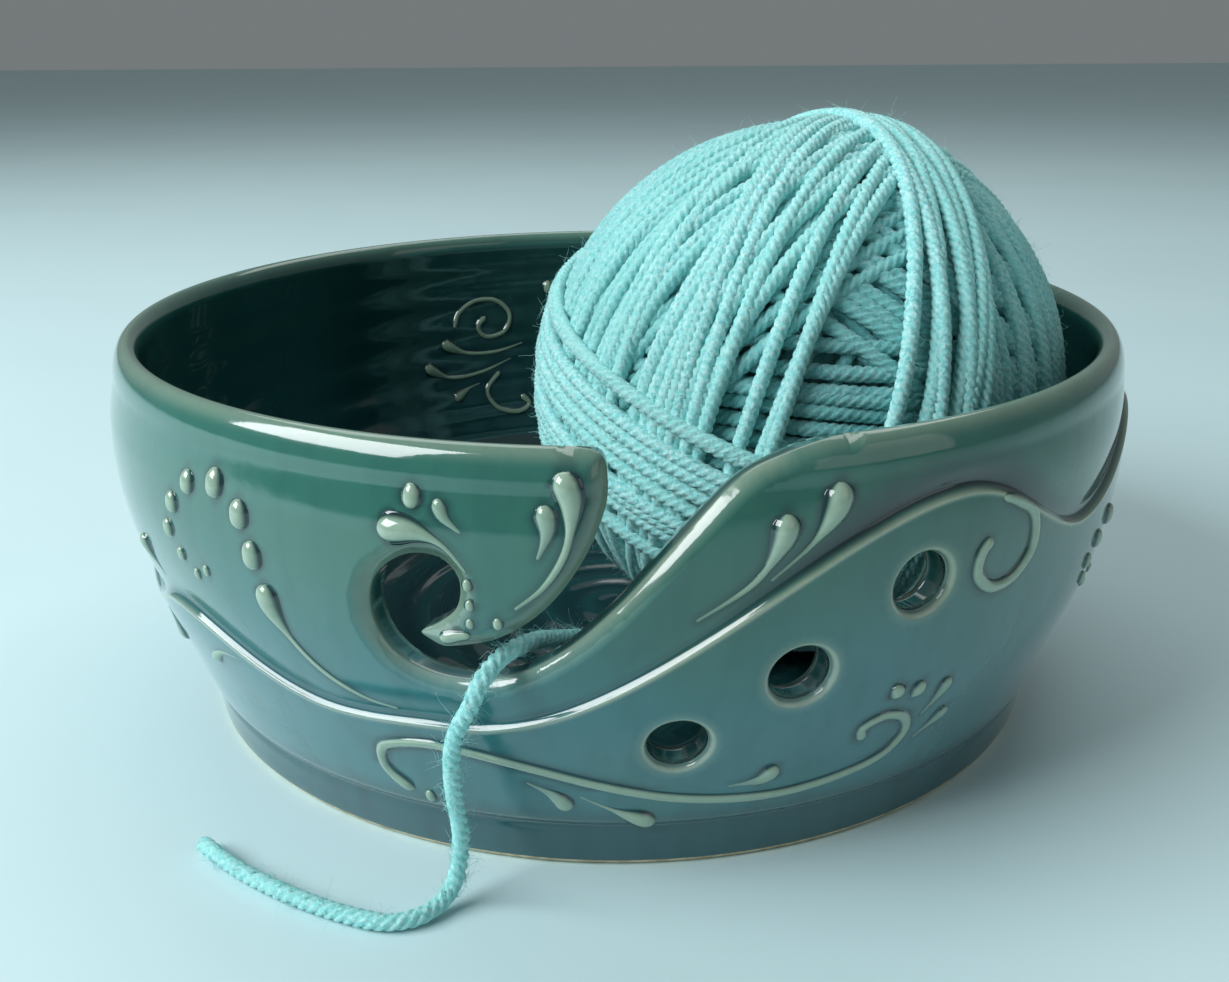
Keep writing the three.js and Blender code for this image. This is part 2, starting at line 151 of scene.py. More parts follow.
class Parts:
    """Points, faces and attributes of several closed forms, gathered into one mesh."""

    def __init__(self):
        self.points, self.quads, self.triangles, self.attributes, self.count = [], [], [], {}, 0

    def put(self, points, **attributes):
        """Add points, and return their numbers."""
        self.points.append(points)
        self.count += len(points)
        for key, values in attributes.items():
            filled = np.broadcast_to(np.asarray(values, float), (len(points),))
            self.attributes.setdefault(key, []).append(filled)
        return np.arange(self.count - len(points), self.count)

    def join(self, quads=(), triangles=()):
        """Add faces, each as the numbers of its corners."""
        if len(quads):
            self.quads.append(np.asarray(quads))
        if len(triangles):
            self.triangles.append(np.asarray(triangles))

    def add_tube(self, rings, closed=False, **attributes):
        """Rings of points, joined in turn; open ends close on their ring's centre."""
        count, sides = rings.shape[:2]
        points = rings.reshape(-1, 3)
        a = np.arange(count if closed else count - 1)[:, None] * sides
        b = (a + sides) % (count * sides)
        k = np.arange(sides)
        k2 = (k + 1) % sides
        quads = np.stack([a + k, a + k2, b + k2, b + k], axis=-1).reshape(-1, 4)
        triangles = np.empty((0, 3), int)
        if not closed:
            points = np.vstack([points, rings[0].mean(0), rings[-1].mean(0)])
            near, far, last = count * sides, count * sides + 1, (count - 1) * sides
            triangles = np.vstack([
                np.stack([k2, k, np.full(sides, near)], axis=-1),
                np.stack([last + k, last + k2, np.full(sides, far)], axis=-1),
            ])
            attributes = {
                key: np.append(values, [values[0], values[-1]]) if np.ndim(values) else values
                for key, values in attributes.items()
            }
        first = self.put(points, **attributes)[0]
        self.join(quads + first, triangles + first)

    def build(self, name):
        """One object of all that was gathered, without the points that no face uses."""
        faces = [np.vstack(group) for group in (self.quads, self.triangles) if group]
        used = np.zeros(self.count, bool)
        for group in faces:
            used[group] = True
        number = np.cumsum(used) - 1
        attributes = {key: np.concatenate(values)[used] for key, values in self.attributes.items()}
        return new_mesh(name, np.vstack(self.points)[used], [number[f] for f in faces], attributes)


# ---- the yarn strand, first of all ----

YARN_RADIUS = 1.3
PLIES = 4
PLY_PITCH = 6.2
STRAND_ROUTE = [
    [12, -29.5, 15.3], [7.5, -39, 19.5], [2.5, -49, 24], [-3, -60, 28.7], [-8.6, -71, 34],
    [-12.5, -80, 37.9], [-16, -86, 38.5], [-18.3, -89.6, 36.8], [-19.7, -90.6, 33.8], [-21.2, -89.8, 30.8],
    [-22.4, -88.8, 27.3], [-22.9, -88, 22.8], [-22.8, -87.3, 18.1], [-22.4, -86.8, 13.8],
    [-22.4, -86.4, 9.5], [-23, -86.2, 6], [-23.9, -86.8, 3.2], [-25.4, -88.3, 1.8], [-28, -90.8, 1.45],
    [-32, -92, 1.4], [-38, -90.4, 1.4], [-47.5, -85.6, 1.4], [-56.3, -79.6, 1.4], [-62.8, -73.6, 1.4],
]


def plied_rings(path, normals, tangents, radius, turns, points_per_ply):
    """Cross-sections of a plied yarn along a path, turned as many times as it is twisted."""
    valley, crown, fullness = 0.76, 0.99, 0.55
    angles = np.arange(PLIES * points_per_ply) * 2 * np.pi / (PLIES * points_per_ply)
    section = valley + (crown - valley) * np.abs(np.sin(angles * PLIES / 2)) ** fullness
    sideways = np.cross(tangents, normals)
    twist = -2 * np.pi * turns * np.linspace(0, 1, len(path))
    a = (angles[None, :] + twist[:, None])[..., None]
    r = (section[None, :] * np.broadcast_to(radius, len(path))[:, None])[..., None]
    return path[:, None] + r * (np.cos(a) * normals[:, None] + np.sin(a) * sideways[:, None])


def carried_frame(path):
    """Tangents, and normals carried along the path without turning round it."""
    tangents = unit(np.gradient(path, axis=0))
    normal = np.cross(tangents[0], [0.3, 0.9, 0.2])
    normals = []
    for tangent in tangents:
        normal = normal - tangent * (normal @ tangent)
        normal = normal / np.linalg.norm(normal)
        normals.append(normal)
    return tangents, np.array(normals)


def make_strand():
    path = through(STRAND_ROUTE, 0.55, power=0.5)
    length = np.linalg.norm(np.diff(path, axis=0), axis=1).sum()
    tangents, normals = carried_frame(path)
    along = np.linspace(0, length, len(path))
    uneven = 1 + 0.03 * value_noise(5, 40)(along / length * 2 * np.pi)
    radius = YARN_RADIUS * uneven
    rings = plied_rings(path, normals, tangents, radius, length / PLY_PITCH, 4)
    parts = Parts()
    parts.add_tube(rings, tone=0.62, deep=0.0)
    strand = parts.build("yarn_strand_plied")
    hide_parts("yarn_strand")
    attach(strand, "bowl")
    return strand, path


strand, strand_path = make_strand()


# ---- the bowl's surfaces ----

OUTER_WALL = np.array([
    [0.8, 77.7], [6, 78.4], [9, 79.6], [17, 82.4], [30, 87.2], [44, 89.8], [55, 90.2], [62.3, 88.9],
])
INNER_WALL = np.array([
    [7, 44], [7.6, 56], [10, 65.5], [16, 74], [28, 80.2], [42, 83.4], [54, 84.2], [65, 84.2],
])
CREASE_HEIGHT = 62.3
WAVE_DEPTH, WAVE_STEP, WAVE_FADE = 1.7, 1.0, 18.0
WAVE_TURNS = np.array([
    [-66, 27], [-50.5, 33], [-28, 25], [-16, 26], [31, 58], [51, 46.5], [75, 56.5],
    [122, 27], [132, 27], [176, 57], [197, 46], [222, 56.5],
])
RIM_TOP, RIM_RADIUS, RIM_OUTWARD, RIM_INWARD = 67.8, 86.2, 2.7, 2
INNER_CREASE_HEIGHT = 64.3
FLOOR_HEIGHT = 7.0
GRID_BOTTOM = 16.0


def radius_on(points, height):
    slopes = np.empty(len(points))
    slopes[1:-1] = (points[2:, 1] - points[:-2, 1]) / (points[2:, 0] - points[:-2, 0])
    slopes[0] = (points[1, 1] - points[0, 1]) / (points[1, 0] - points[0, 0])
    slopes[-1] = (points[-1, 1] - points[-2, 1]) / (points[-1, 0] - points[-2, 0])
    i = np.clip(np.searchsorted(points[:, 0], height, side="right") - 1, 0, len(points) - 2)
    span = points[i + 1, 0] - points[i, 0]
    t = np.clip((height - points[i, 0]) / span, 0, 1)
    r0, r1, b0, b1 = points[i, 1], points[i + 1, 1], slopes[i] * span, slopes[i + 1] * span
    return r0 + t * b0 + t ** 2 * (3 * (r1 - r0) - 2 * b0 - b1) + t ** 3 * (2 * (r0 - r1) + b0 + b1)


def wave_height(angle):
    turns = np.vstack([WAVE_TURNS, [WAVE_TURNS[0, 0] + 360, WAVE_TURNS[0, 1]]])
    wrapped = turns[0, 0] + np.mod(angle - turns[0, 0], 360)
    i = np.clip(np.searchsorted(turns[:, 0], wrapped, side="right") - 1, 0, len(turns) - 2)
    t = (wrapped - turns[i, 0]) / (turns[i + 1, 0] - turns[i, 0])
    return turns[i, 1] + (turns[i + 1, 1] - turns[i, 1]) * (1 - np.cos(np.pi * t)) / 2


def wave_slope(angle):
    return (wave_height(angle + 0.2) - wave_height(angle - 0.2)) / (0.4 * MM_PER_DEGREE)


def wave_offset(angle, height):
    """Distance from the wave line, positive above it, measured square to the line."""
    return (height - wave_height(angle)) / np.sqrt(1 + wave_slope(angle) ** 2)


THROWN = value_noise(11, 5)
SWAY = value_noise(12, 3)


def finger_rings(turn, height):
    """The spiral ridges that the potter's fingers left inside the wall."""
    return 0.10 * np.sin(2 * np.pi * height / 7.5 + turn)


def unevenness(turn, height):
    return 0.07 * THROWN(turn + height / 40)


def wall_radii(angle, height):
    """Outer, inner and middle radius of the wall before the slot and holes are cut."""
    line = wave_height(angle)
    fade = np.minimum(WAVE_FADE, CREASE_HEIGHT - line - WAVE_STEP)
    above = np.clip((height - line - WAVE_STEP) / fade, 0, 1)
    offset = wave_offset(angle, height)
    carved = 0.85 * WAVE_DEPTH * (1 - np.exp(-np.maximum(offset, 0) / 0.8)) * (1 - above) ** 2
    outer = radius_on(OUTER_WALL, np.minimum(height, CREASE_HEIGHT)) - carved
    outer += 0.12 * bell(offset + 0.1, 0.38)
    over = np.clip((height - CREASE_HEIGHT) / (RIM_TOP - CREASE_HEIGHT), 0, 1)
    outer = np.where(over > 0, RIM_RADIUS + RIM_OUTWARD * np.sqrt(1 - over ** 2), outer)
    inner = radius_on(INNER_WALL, np.minimum(height, INNER_CREASE_HEIGHT))
    over = np.clip((height - INNER_CREASE_HEIGHT) / (RIM_TOP - INNER_CREASE_HEIGHT), 0, 1)
    inner = np.where(over > 0, RIM_RADIUS - RIM_INWARD * np.sqrt(1 - over ** 2), inner)
    turn = np.radians(angle)
    outer += unevenness(turn, height) * smooth(RIM_TOP - height, 4, 10)
    inner += finger_rings(turn, height) * smooth(RIM_TOP - height, 3, 9)
    middle = (outer + inner) / 2
    middle += (RIM_RADIUS - middle) * smooth(height, 58, 65)
    return outer, inner, middle


def polar(angle, radius, height):
    turn = np.radians(angle)
    return np.stack([radius * np.sin(turn), -radius * np.cos(turn), height + 0 * turn], axis=-1)


# ---- the slot and holes, flat: x is mm round the wall, y is height ----

HOLE_RADIUS = 4.5
NEEDLE_HOLES = [[5.2, 24.2], [15.9, 34.9], [26.9, 46.2]]
SLOT_LIP = [
    [19.4, 67.8], [16.8, 67.4], [13.6, 66.1], [9.6, 63.2], [4.6, 55.6], [-0.4, 46.7], [-5.3, 39.5],
    [-10.5, 35], [-16, 34.2], [-20.2, 36.8], [-22.2, 42.6], [-21.6, 48.6], [-18.6, 52.6], [-15.4, 53],
    [-13.6, 50.2], [-13.9, 46], [-15.9, 43], [-17.8, 41.5],
]
SLOT_HOOK = [
    [-15.6, 39.5], [-10.7, 41.6], [-6.5, 46.3], [-3.3, 53], [-1.3, 60.2], [-1.1, 64.6],
    [-1.4, 66.6], [-2.2, 67.5], [-3.8, 67.8],
]
LINE_STEP = 0.35
FAR = 99.0


def flat(angle, height):
    return np.stack([np.asarray(angle) * MM_PER_DEGREE, np.asarray(height, float)], axis=-1)


def slot_line():
    """The slot's edge from the rim at its right, round the eye and the hook, to the rim at its left."""
    lip = through(flat(*np.array(SLOT_LIP).T), 0.1)
    hook = through(flat(*np.array(SLOT_HOOK).T), 0.1)
    line = resample(np.vstack([lip, hook]), LINE_STEP)
    tip = flat(-16.8, 40.5)
    near_tip = np.linalg.norm(line - tip, axis=1) < 4.5
    for _ in range(8):
        line[1:-1] += np.where(near_tip[1:-1, None], 0.25 * (line[2:] + line[:-2] - 2 * line[1:-1]), 0)
    line[:, 1] = np.minimum(line[:, 1], RIM_TOP)
    line[[0, -1], 1] = RIM_TOP
    return line


def hole_line(place):
    count = round(2 * math.pi * HOLE_RADIUS / LINE_STEP)
    turn = np.arange(count) * 2 * np.pi / count
    return flat(*place) + HOLE_RADIUS * np.stack([np.cos(turn), np.sin(turn)], axis=-1)


SLOT_EDGE = slot_line()
HOLE_EDGES = [hole_line(place) for place in NEEDLE_HOLES]


def signed_distance(points, loop):
    """Distance to a closed loop, negative inside it."""
    a, b = loop, np.roll(loop, -1, axis=0)
    ab = b - a
    result = np.empty(len(points))
    for start in range(0, len(points), 4000):
        p = points[start:start + 4000, None]
        t = np.clip(((p - a) * ab).sum(-1) / np.maximum((ab ** 2).sum(-1), 1e-12), 0, 1)
        distance = np.linalg.norm(a + t[..., None] * ab - p, axis=-1).min(1)
        crosses = (a[:, 1] > p[..., 1]) != (b[:, 1] > p[..., 1])
        rise = np.where(ab[:, 1] == 0, 1, ab[:, 1])
        x = a[:, 0] + (p[..., 1] - a[:, 1]) / rise * ab[:, 0]
        inside = (crosses & (p[..., 0] < x)).sum(1) % 2 == 1
        result[start:start + 4000] = np.where(inside, -distance, distance)
    return result


def cut_distance(points):
    """Distance from the nearest cut edge, negative in the slot and the holes."""
    sky = [[SLOT_EDGE[-1, 0], 90], [SLOT_EDGE[0, 0], 90]]
    result = np.full(len(points), FAR)
    for loop in [np.vstack([SLOT_EDGE, sky]), *HOLE_EDGES]:
        low, high = loop.min(0) - 7, loop.max(0) + 7
        near = ((points > low) & (points < high)).all(1)
        if near.any():
            result[near] = np.minimum(result[near], signed_distance(points[near], loop))
    return result


def rounding(distance, radius):
    """How far a rounded edge falls back at a distance from the edge."""
    t = np.clip(distance, 0, radius)
    return radius - np.sqrt(radius ** 2 - (radius - t) ** 2)


def cut_radii(points, distance):
    """Outer and inner radius at flat points, with the cut edges rounded over."""
    outer, inner, middle = wall_radii(points[:, 0] / MM_PER_DEGREE, points[:, 1])
    half_out, half_in = np.maximum(outer - middle, 0), np.maximum(middle - inner, 0)
    full = smooth(RIM_TOP - points[:, 1], 0, 2.6)
    outer = middle + half_out * (1 - full * rounding(distance, 1.35) / np.maximum(half_out, 2.4))
    inner = middle - half_in * (1 - full * rounding(distance, 1.0) / np.maximum(half_in, 2.0))
    return outer, inner


# ---- slip trails ----

DOT_ROWS = {
    "left_spiral_dot": [
        [-34.1, 48.7, 4], [-35.2, 54.4, 4], [-38.5, 57.8, 4], [-42.7, 56.5, 3.4], [-45.8, 52.3, 3.2],
        [-47.5, 47.5, 2.8], [-46.1, 43.8, 2.2], [-43.9, 41.5, 1.8], [-41.8, 43, 1.8],
    ],
    "hook_dot": [
        [-17.3, 61.1, 3], [-12.6, 49.9, 1.6], [-12.5, 47, 1.5], [-12.6, 44.3, 1.4], [-10.2, 44.6, 1.6],
    ],
    "tendril_dot": [[-20.4, 10.6, 2.2], [-17.9, 10.9, 2.6]],
    "right_spiral_dot": [
        [62, 41.5, 3.4], [58.6, 39, 3], [56.8, 36, 2.6], [57.4, 32.6, 2.2], [60.2, 30.2, 1.8],
        [63.4, 30.8, 1.8],
    ],
    "inner_spiral_dot": [[-168.3, 54.6, 3]],
}
# Single trails: the diameters of head and tail, and the [angle, height] points of the line.
TRAILS = {
    "left_spiral_drop": [4.2, 1.6, [
        [-33.2, 44.6], [-32.8, 40.6], [-31, 35.6], [-28.2, 31.2], [-24.6, 28.2], [-21.4, 27.4],
    ]],
    "left_wave_drop": [3.4, 1.4, [[-57.4, 41.5], [-57.2, 38], [-55.4, 34.8]]],
    "left_wave_arch": [2.4, 1.4, [[-47, 24.6], [-44.4, 27.4], [-41.4, 28]]],
    "left_base_drop": [3.2, 1.4, [[-59, 20.5], [-59.5, 24], [-59, 27.4]]],
    "hook_comma": [4.2, 1.7, [[-20.3, 56.6], [-17.2, 56.7], [-14.5, 55], [-12.6, 51.6]]],
    "hook_drop": [3, 1.5, [[-15.1, 61], [-14.5, 58.8], [-13, 56.9]]],
    "hook_tip_bead": [2.2, 1.4, [[-15.4, 41.5], [-13.9, 42.2], [-12.7, 42.5]]],
    "tongue_long_drop": [4, 1.6, [[-4.8, 65.2], [-4, 61], [-4.4, 55.4], [-6.2, 50.4], [-8.7, 46.9]]],
    "tongue_short_drop": [3.6, 1.6, [[-6.2, 61], [-5.9, 57.5], [-6.7, 54]]],
    "lip_long_drop": [4.2, 1.8, [[18.3, 62.4], [17.9, 59.2], [15.9, 54.7], [12.4, 49.8]]],
    "lip_short_drop": [3.8, 1.8, [[13.6, 59], [13.1, 55.2], [10.9, 49.8], [6.2, 44.8]]],
    "wave_curl": [1.9, 2.4, [
        [35.4, 56.1], [37.6, 54.8], [39.5, 52.9], [40.3, 49.9], [40.1, 46.3], [38, 43.1], [35.2, 42.7],
        [33, 45.3], [33, 48.6], [34.2, 50.6],
    ]],
    "tendril": [3.4, 2.2, [
        [-22.2, 11.2], [-24.8, 15.2], [-24, 19.8], [-19.4, 22], [-14.7, 21.6], [-8.8, 19.6],
        [-2.2, 16.6], [3.7, 14.2], [9.6, 12.8], [15.6, 12.3], [22, 13.2], [27.4, 15.2], [29.6, 18.8],
        [28.9, 22.4], [26.3, 24.2], [23.8, 22.8], [24.3, 20.2],
    ]],
    "tendril_upper_drop": [3.4, 1.5, [[33, 28.3], [32.2, 24.6], [31.2, 21.8]]],
    "tendril_lower_drop": [3.2, 1.5, [[34.9, 21.5], [33.5, 19.1], [31.6, 16.9]]],
    "tendril_left_bead": [3.2, 1.8, [[26, 30], [26.8, 27.4]]],
    "tendril_right_bead": [3.2, 1.8, [[29.4, 29.4], [28.6, 26.6]]],
    "tendril_rising_drop": [3.6, 1.5, [[15.4, 18.1], [13.9, 15.9], [10.6, 15.1]]],
    "tendril_first_hanging_drop": [3.6, 1.4, [[-5.2, 11.4], [-6.8, 14.2], [-9.4, 16.4]]],
    "tendril_second_hanging_drop": [3.6, 1.4, [[3.4, 8.6], [-0.2, 10.9], [-4.2, 14.1]]],
    "back_tendril": [3.2, 2, [
        [150, 14.4], [158, 12.4], [168, 13.6], [178, 17.4], [188, 22], [197, 23.6], [204, 20.8],
        [204, 16.2], [199.6, 15.8],
    ]],
    "back_upper_drop": [3.4, 1.5, [[185, 32], [183.5, 28], [180, 24.4]]],
    "back_lower_drop": [3.4, 1.5, [[191, 33.4], [190.2, 29.6], [187, 26]]],
    "back_hanging_drop": [3.2, 1.4, [[171, 9.4], [167.5, 9.6], [163.4, 9.8]]],
    "back_rising_drop": [3.6, 1.5, [[172, 24], [169.5, 20.6], [165.5, 17.8]]],
    "inner_upper_spiral": [2.4, 1.6, [
        [-157.4, 48.4], [-156, 46], [-157.4, 43.4], [-160.6, 44.4], [-161.6, 48.6], [-159.4, 52],
        [-155.8, 52.4], [-152.8, 49.8], [-151.8, 46.2],
    ]],
    "inner_lower_spiral": [2.4, 1.6, [
        [-162.6, 28.6], [-164, 26.4], [-161.6, 24.9], [-158, 26.4], [-156.6, 30.6], [-159.2, 34.6],
    ]],
    "inner_first_drop": [3.2, 1.5, [[-149.4, 43], [-153.6, 40], [-158.8, 39.6], [-163.6, 41.2]]],
    "inner_second_drop": [3.2, 1.5, [[-145.8, 38], [-150.2, 34.6], [-156, 35], [-161.4, 37.6]]],
    "inner_third_drop": [3, 1.5, [[-150.4, 29.2], [-153.2, 31.4], [-155.4, 32.4]]],
}

LINES = ("wave_curl", "tendril", "back_tendril", "inner_upper_spiral", "inner_lower_spiral")


class Trail:
    """The flat centreline of a slip trail, its half width, and how far its tail has thinned out."""

    def __init__(self, points, head, tail, kind="drop"):
        dense = through(flat(*np.array(points, float).T), 0.05)
        length = np.linalg.norm(np.diff(dense, axis=0), axis=1).sum()
        quarter = 1 - np.cos(np.linspace(0, np.pi, 19)[:10])
        start = head / 2 * quarter * 0.98 + 0.02 * head / 2
        end = tail / 2 * quarter[::-1]
        count = max(3, round((length - head / 2 - tail / 2) / 0.55))
        middle = np.linspace(head / 2, length - tail / 2, count)
        distances = np.concatenate([start, middle, length - end - 0.01 * tail])
        distances = np.unique(np.round(np.clip(distances, 0.012 * head, length - 0.012 * tail), 3))
        along = np.linspace(0, length, len(dense))
        self.line = np.stack([np.interp(distances, along, axis) for axis in dense.T], axis=1)
        drop = kind == "drop"
        narrowing = smooth(distances, head / 2, min(length, head * 2.2))
        at_head, at_tail = {"drop": (0.84, 0.62), "line": (0.66, 0.78), "dot": (0.76, 0.76)}[kind]
        width = (at_head * head + (at_tail * tail - at_head * head) * narrowing) / 2
        self.thin = smooth(distances, length - 6 * tail, length) if drop else np.zeros(len(distances))
        width = width * (1 - 0.5 * self.thin)
        from_head = np.clip(distances / (head / 2), 0, 1)
        from_tail = np.clip((length - distances) / (tail / 2 * (0.55 if drop else 0.9)), 0, 1)
        ends = np.minimum(np.sqrt(1 - (1 - from_head) ** 2), np.sqrt(1 - (1 - from_tail) ** 2))
        self.half = width * np.maximum(ends, 0.06)


def all_trails():
    """{piece name: (CAD nodes, trails, whether inside)}"""
    found = {}
    for row, dots in DOT_ROWS.items():
        trails = [
            Trail([[a, h + 0.55 * d], [a, h], [a, h - 0.55 * d]], d, d, "dot") for a, h, d in dots
        ]
        nodes = [f"{row}_{i + 1}" for i in range(len(dots))]
        found[f"{row}s_glazed"] = (nodes, trails, row.startswith("inner"))
    for name, (head, tail, points) in TRAILS.items():
        kind = "line" if name in LINES else "dot" if name.endswith("bead") else "drop"
        found[f"{name}_glazed"] = ([name], [Trail(points, head, tail, kind)], name.startswith("inner"))
    return found


SLIP = all_trails()


def round_again(across):
    """Flat x as a distance round the wall from behind the bowl, so that it never jumps at the back."""
    return (across + 180 * MM_PER_DEGREE) % (360 * MM_PER_DEGREE)


def slip_trees():
    """A tree of centreline points and their half widths, for the outside and the inside."""
    trees = {}
    for inside in (False, True):
        trails = [t for _, group, within in SLIP.values() if within == inside for t in group]
        points, halves = np.vstack([t.line for t in trails]), np.concatenate([t.half for t in trails])
        tree = KDTree(len(points))
        for i, (x, y) in enumerate(points):
            tree.insert((round_again(x), y, 0), i)
        tree.balance()
        trees[inside] = (tree, halves)
    return trees


SLIP_TREES = slip_trees()


def pooled(gap, half):
    """How much glaze pools at a gap from a trail of some half width, 0 to 1."""
    return np.exp(-(gap / 0.85) ** 2) * np.minimum(1, 0.35 + 0.4 * half)


def pool_round_slip(points, inside):
    """How much glaze has pooled round the slip at flat points, 0 to 1."""
    tree, halves = SLIP_TREES[inside]
    result = np.zeros(len(points))
    for k, (x, y) in enumerate(zip(round_again(points[:, 0]), points[:, 1])):
        _, i, distance = tree.find((x, y, 0))
        if distance < 5:
            result[k] = pooled(max(distance - halves[i], 0), halves[i])
    return result


# ---- the bowl body ----

FINE_STEP = 0.3                      # degrees between the columns of the decorated front


def column_angles():
    return np.concatenate([np.arange(-75, 75, FINE_STEP), np.arange(75, 285, 0.75)])


def row_heights(angles):
    """Heights of the wall rows at each column: close together at the wave line and over the rim."""
    def part(low, high, count):
        return low + (high - low) * (np.arange(count) / count)[:, None]

    line = wave_height(angles)[None, :]
    rim_start, rim_count = 61.2, 19
    rim = rim_start + (RIM_TOP - rim_start) * np.sin(np.linspace(0, np.pi / 2, rim_count))
    return np.vstack([
        part(np.full_like(line, GRID_BOTTOM), line - 1.6, 58),
        part(line - 1.6, line + 2, 18),
        part(line + 2, np.full_like(line, rim_start), 58),
        np.broadcast_to(rim[:, None], (rim_count, len(angles))),
    ])


# Each cut is its edge and whether that closes on itself. Round the cuts the grid gives way to a band of
# triangles, BAND wide, with rows of points at these offsets from the edge, every so many points of it.
CUTS = [(SLOT_EDGE, False), *[(edge, True) for edge in HOLE_EDGES]]
CUT_REACH = 32                       # degrees either side of the front that hold every cut
OFFSETS = [(0.08, 1), (0.22, 1), (0.42, 1), (0.68, 1), (1.0, 2), (1.4, 2), (1.8, 3)]
BAND = 2.1


def kept_border(kept, columns):
    """The grid edges between a kept cell and a dropped one, as pairs of vertex numbers."""
    edges = set()
    for i, j in zip(*np.nonzero(~kept)):
        low, high = i * columns + j, (i + 1) * columns + j
        for (ni, nj), (p, q) in (
            ((i, j - 1), (low, high)),
            ((i, j + 1), (low + 1, high + 1)),
            ((i - 1, j), (low, low + 1)),
            ((i + 1, j), (high, high + 1)),
        ):
            if 0 <= ni < len(kept) and kept[ni, nj]:
                edges.add((int(p), int(q)))
    return edges


def band_rows():
    """Flat points in rows beside the cut edges, where they are clear of the other cuts."""
    found = []
    for line, closed in CUTS:
        ahead = np.gradient(line, axis=0)
        if closed:
            ahead = np.roll(line, -1, axis=0) - np.roll(line, 1, axis=0)
        normal = unit(np.stack([ahead[:, 1], -ahead[:, 0]], axis=-1))
        for offset, every in OFFSETS:
            row = (line + normal * offset)[::every]
            clear = (cut_distance(row) > 0.93 * offset) & (row[:, 1] < RIM_TOP - 0.12)
            found += [tuple(p) for p in row[clear]]
    return found


def cut_band(grid, kept, columns):
    """Points and triangles between the kept grid cells and the cut edges.

    The first points are grid vertices, given by their numbers; then come the edges' own points.
    """
    rows = grid.shape[0] - 1
    edges = kept_border(kept, columns)
    top = np.nonzero(~kept[rows - 1])[0]
    rim = [rows * columns + int(j) for j in range(top[0], top[-1] + 2)]
    flat_grid = grid.reshape(-1, 2)
    left = [v for v in rim if flat_grid[v, 0] < SLOT_EDGE[-1, 0] - 0.15]
    right = [v for v in rim if flat_grid[v, 0] > SLOT_EDGE[0, 0] + 0.15]
    used = sorted({v for edge in edges for v in edge} | set(left) | set(right))
    local = {v: k for k, v in enumerate(used)}
    points = [tuple(flat_grid[v]) for v in used]
    constraints = [(local[p], local[q]) for p, q in (*edges, *zip(left, left[1:]), *zip(right, right[1:]))]
    chains = []
    for line, closed in CUTS:
        chain = list(range(len(points), len(points) + len(line)))
        points += [tuple(p) for p in line]
        chains.append(chain + chain[:1] if closed else chain)
        constraints += list(zip(chains[-1], chains[-1][1:]))
    constraints += [(local[left[-1]], chains[0][-1]), (chains[0][0], local[right[0]])]
    points += band_rows()
    result = delaunay_2d_cdt([Vector(p) for p in points], constraints, [], 0, 1e-6, True)
    out = np.array([tuple(p) for p in result[0]])
    source = [o[0] if o else -1 for o in result[3]]
    triangles = np.array([f for f in result[2] if len(f) == 3])

    # only the triangles in dropped cells and outside the cuts stay
    centre = out[triangles].mean(1)
    place = (centre[:, 0] - grid[0, 0, 0]) / (FINE_STEP * MM_PER_DEGREE)
    j = np.clip(place.astype(int), 0, columns - 2)
    share = place - j
    heights = grid[:, j, 1] * (1 - share) + grid[:, j + 1, 1] * share
    i = np.clip((heights <= centre[:, 1]).sum(0) - 1, 0, rows - 1)
    on_grid = (place > 0) & (place < columns - 1) & (centre[:, 1] > GRID_BOTTOM) & (centre[:, 1] < RIM_TOP)
    triangles = triangles[on_grid & ~kept[i, j] & (cut_distance(centre) > 0)]
    a, b, c = (out[triangles[:, k]] for k in range(3))
    area = (b[:, 0] - a[:, 0]) * (c[:, 1] - a[:, 1]) - (c[:, 0] - a[:, 0]) * (b[:, 1] - a[:, 1])
    triangles = np.where(area[:, None] < 0, triangles[:, ::-1], triangles)[np.abs(area) > 1e-9]
    return out, source, used, triangles, chains


def cut_is_slot(points):
    """Whether flat points are away from the needle holes, so that a cut near them is the slot."""
    to_holes = np.full(len(points), FAR)
    for place in NEEDLE_HOLES:
        to_holes = np.minimum(to_holes, np.linalg.norm(points - flat(*place), axis=1) - HOLE_RADIUS)
    return to_holes > 2.6


def bowl_looks(points, distance, within):
    """The glaze's attributes at flat points of the wall, inside or outside."""
    angle, height = points[:, 0] / MM_PER_DEGREE, points[:, 1]
    fade = smooth(RIM_TOP - height, 0, 2.6)
    rim = smooth(height, 65.4, 67.6)
    if within:
        return {
            "pale": np.maximum(0.35 * fade * smooth(distance, 1.0, 0.1), 0.12 * rim),
            "pool": 0.9 * pool_round_slip(points, True),
            # Inside, the glaze colour is darkened as painted shade, fading out just below the rim.
            "within": smooth(RIM_TOP - height, 0.3, 4),
        }
    # Along the cut edges the pale line is partly the glaze breaking over the rounded edge and partly a
    # painted highlight, brightest along the slot.
    in_slot = np.minimum(np.abs(angle) < CUT_REACH, cut_is_slot(points))
    strength = np.where(in_slot, 1.0, 0.55) * fade
    edge = strength * np.maximum(bell(distance - 0.5, 0.4), 0.3 * smooth(distance, 2.2, 0.6))
    offset, line = wave_offset(angle, height), wave_height(angle)
    crest = smooth(line, 40, 56)
    ridge = bell(offset + 0.15, 0.36) * (0.42 + 0.15 * smooth(line, 24, 40))
    step_pool = (0.5 + 0.5 * crest) * smooth(offset, 0.1, 0.9) * smooth(offset, 2.2 + 5.5 * crest, 0.8)
    pool = np.maximum(pool_round_slip(points, False), step_pool)
    return {
        "pale": np.maximum.reduce([edge, ridge, 0.2 * rim]),
        "pool": pool * (1 - 0.9 * np.minimum(edge, 1)),
        "within": 0.0,
    }


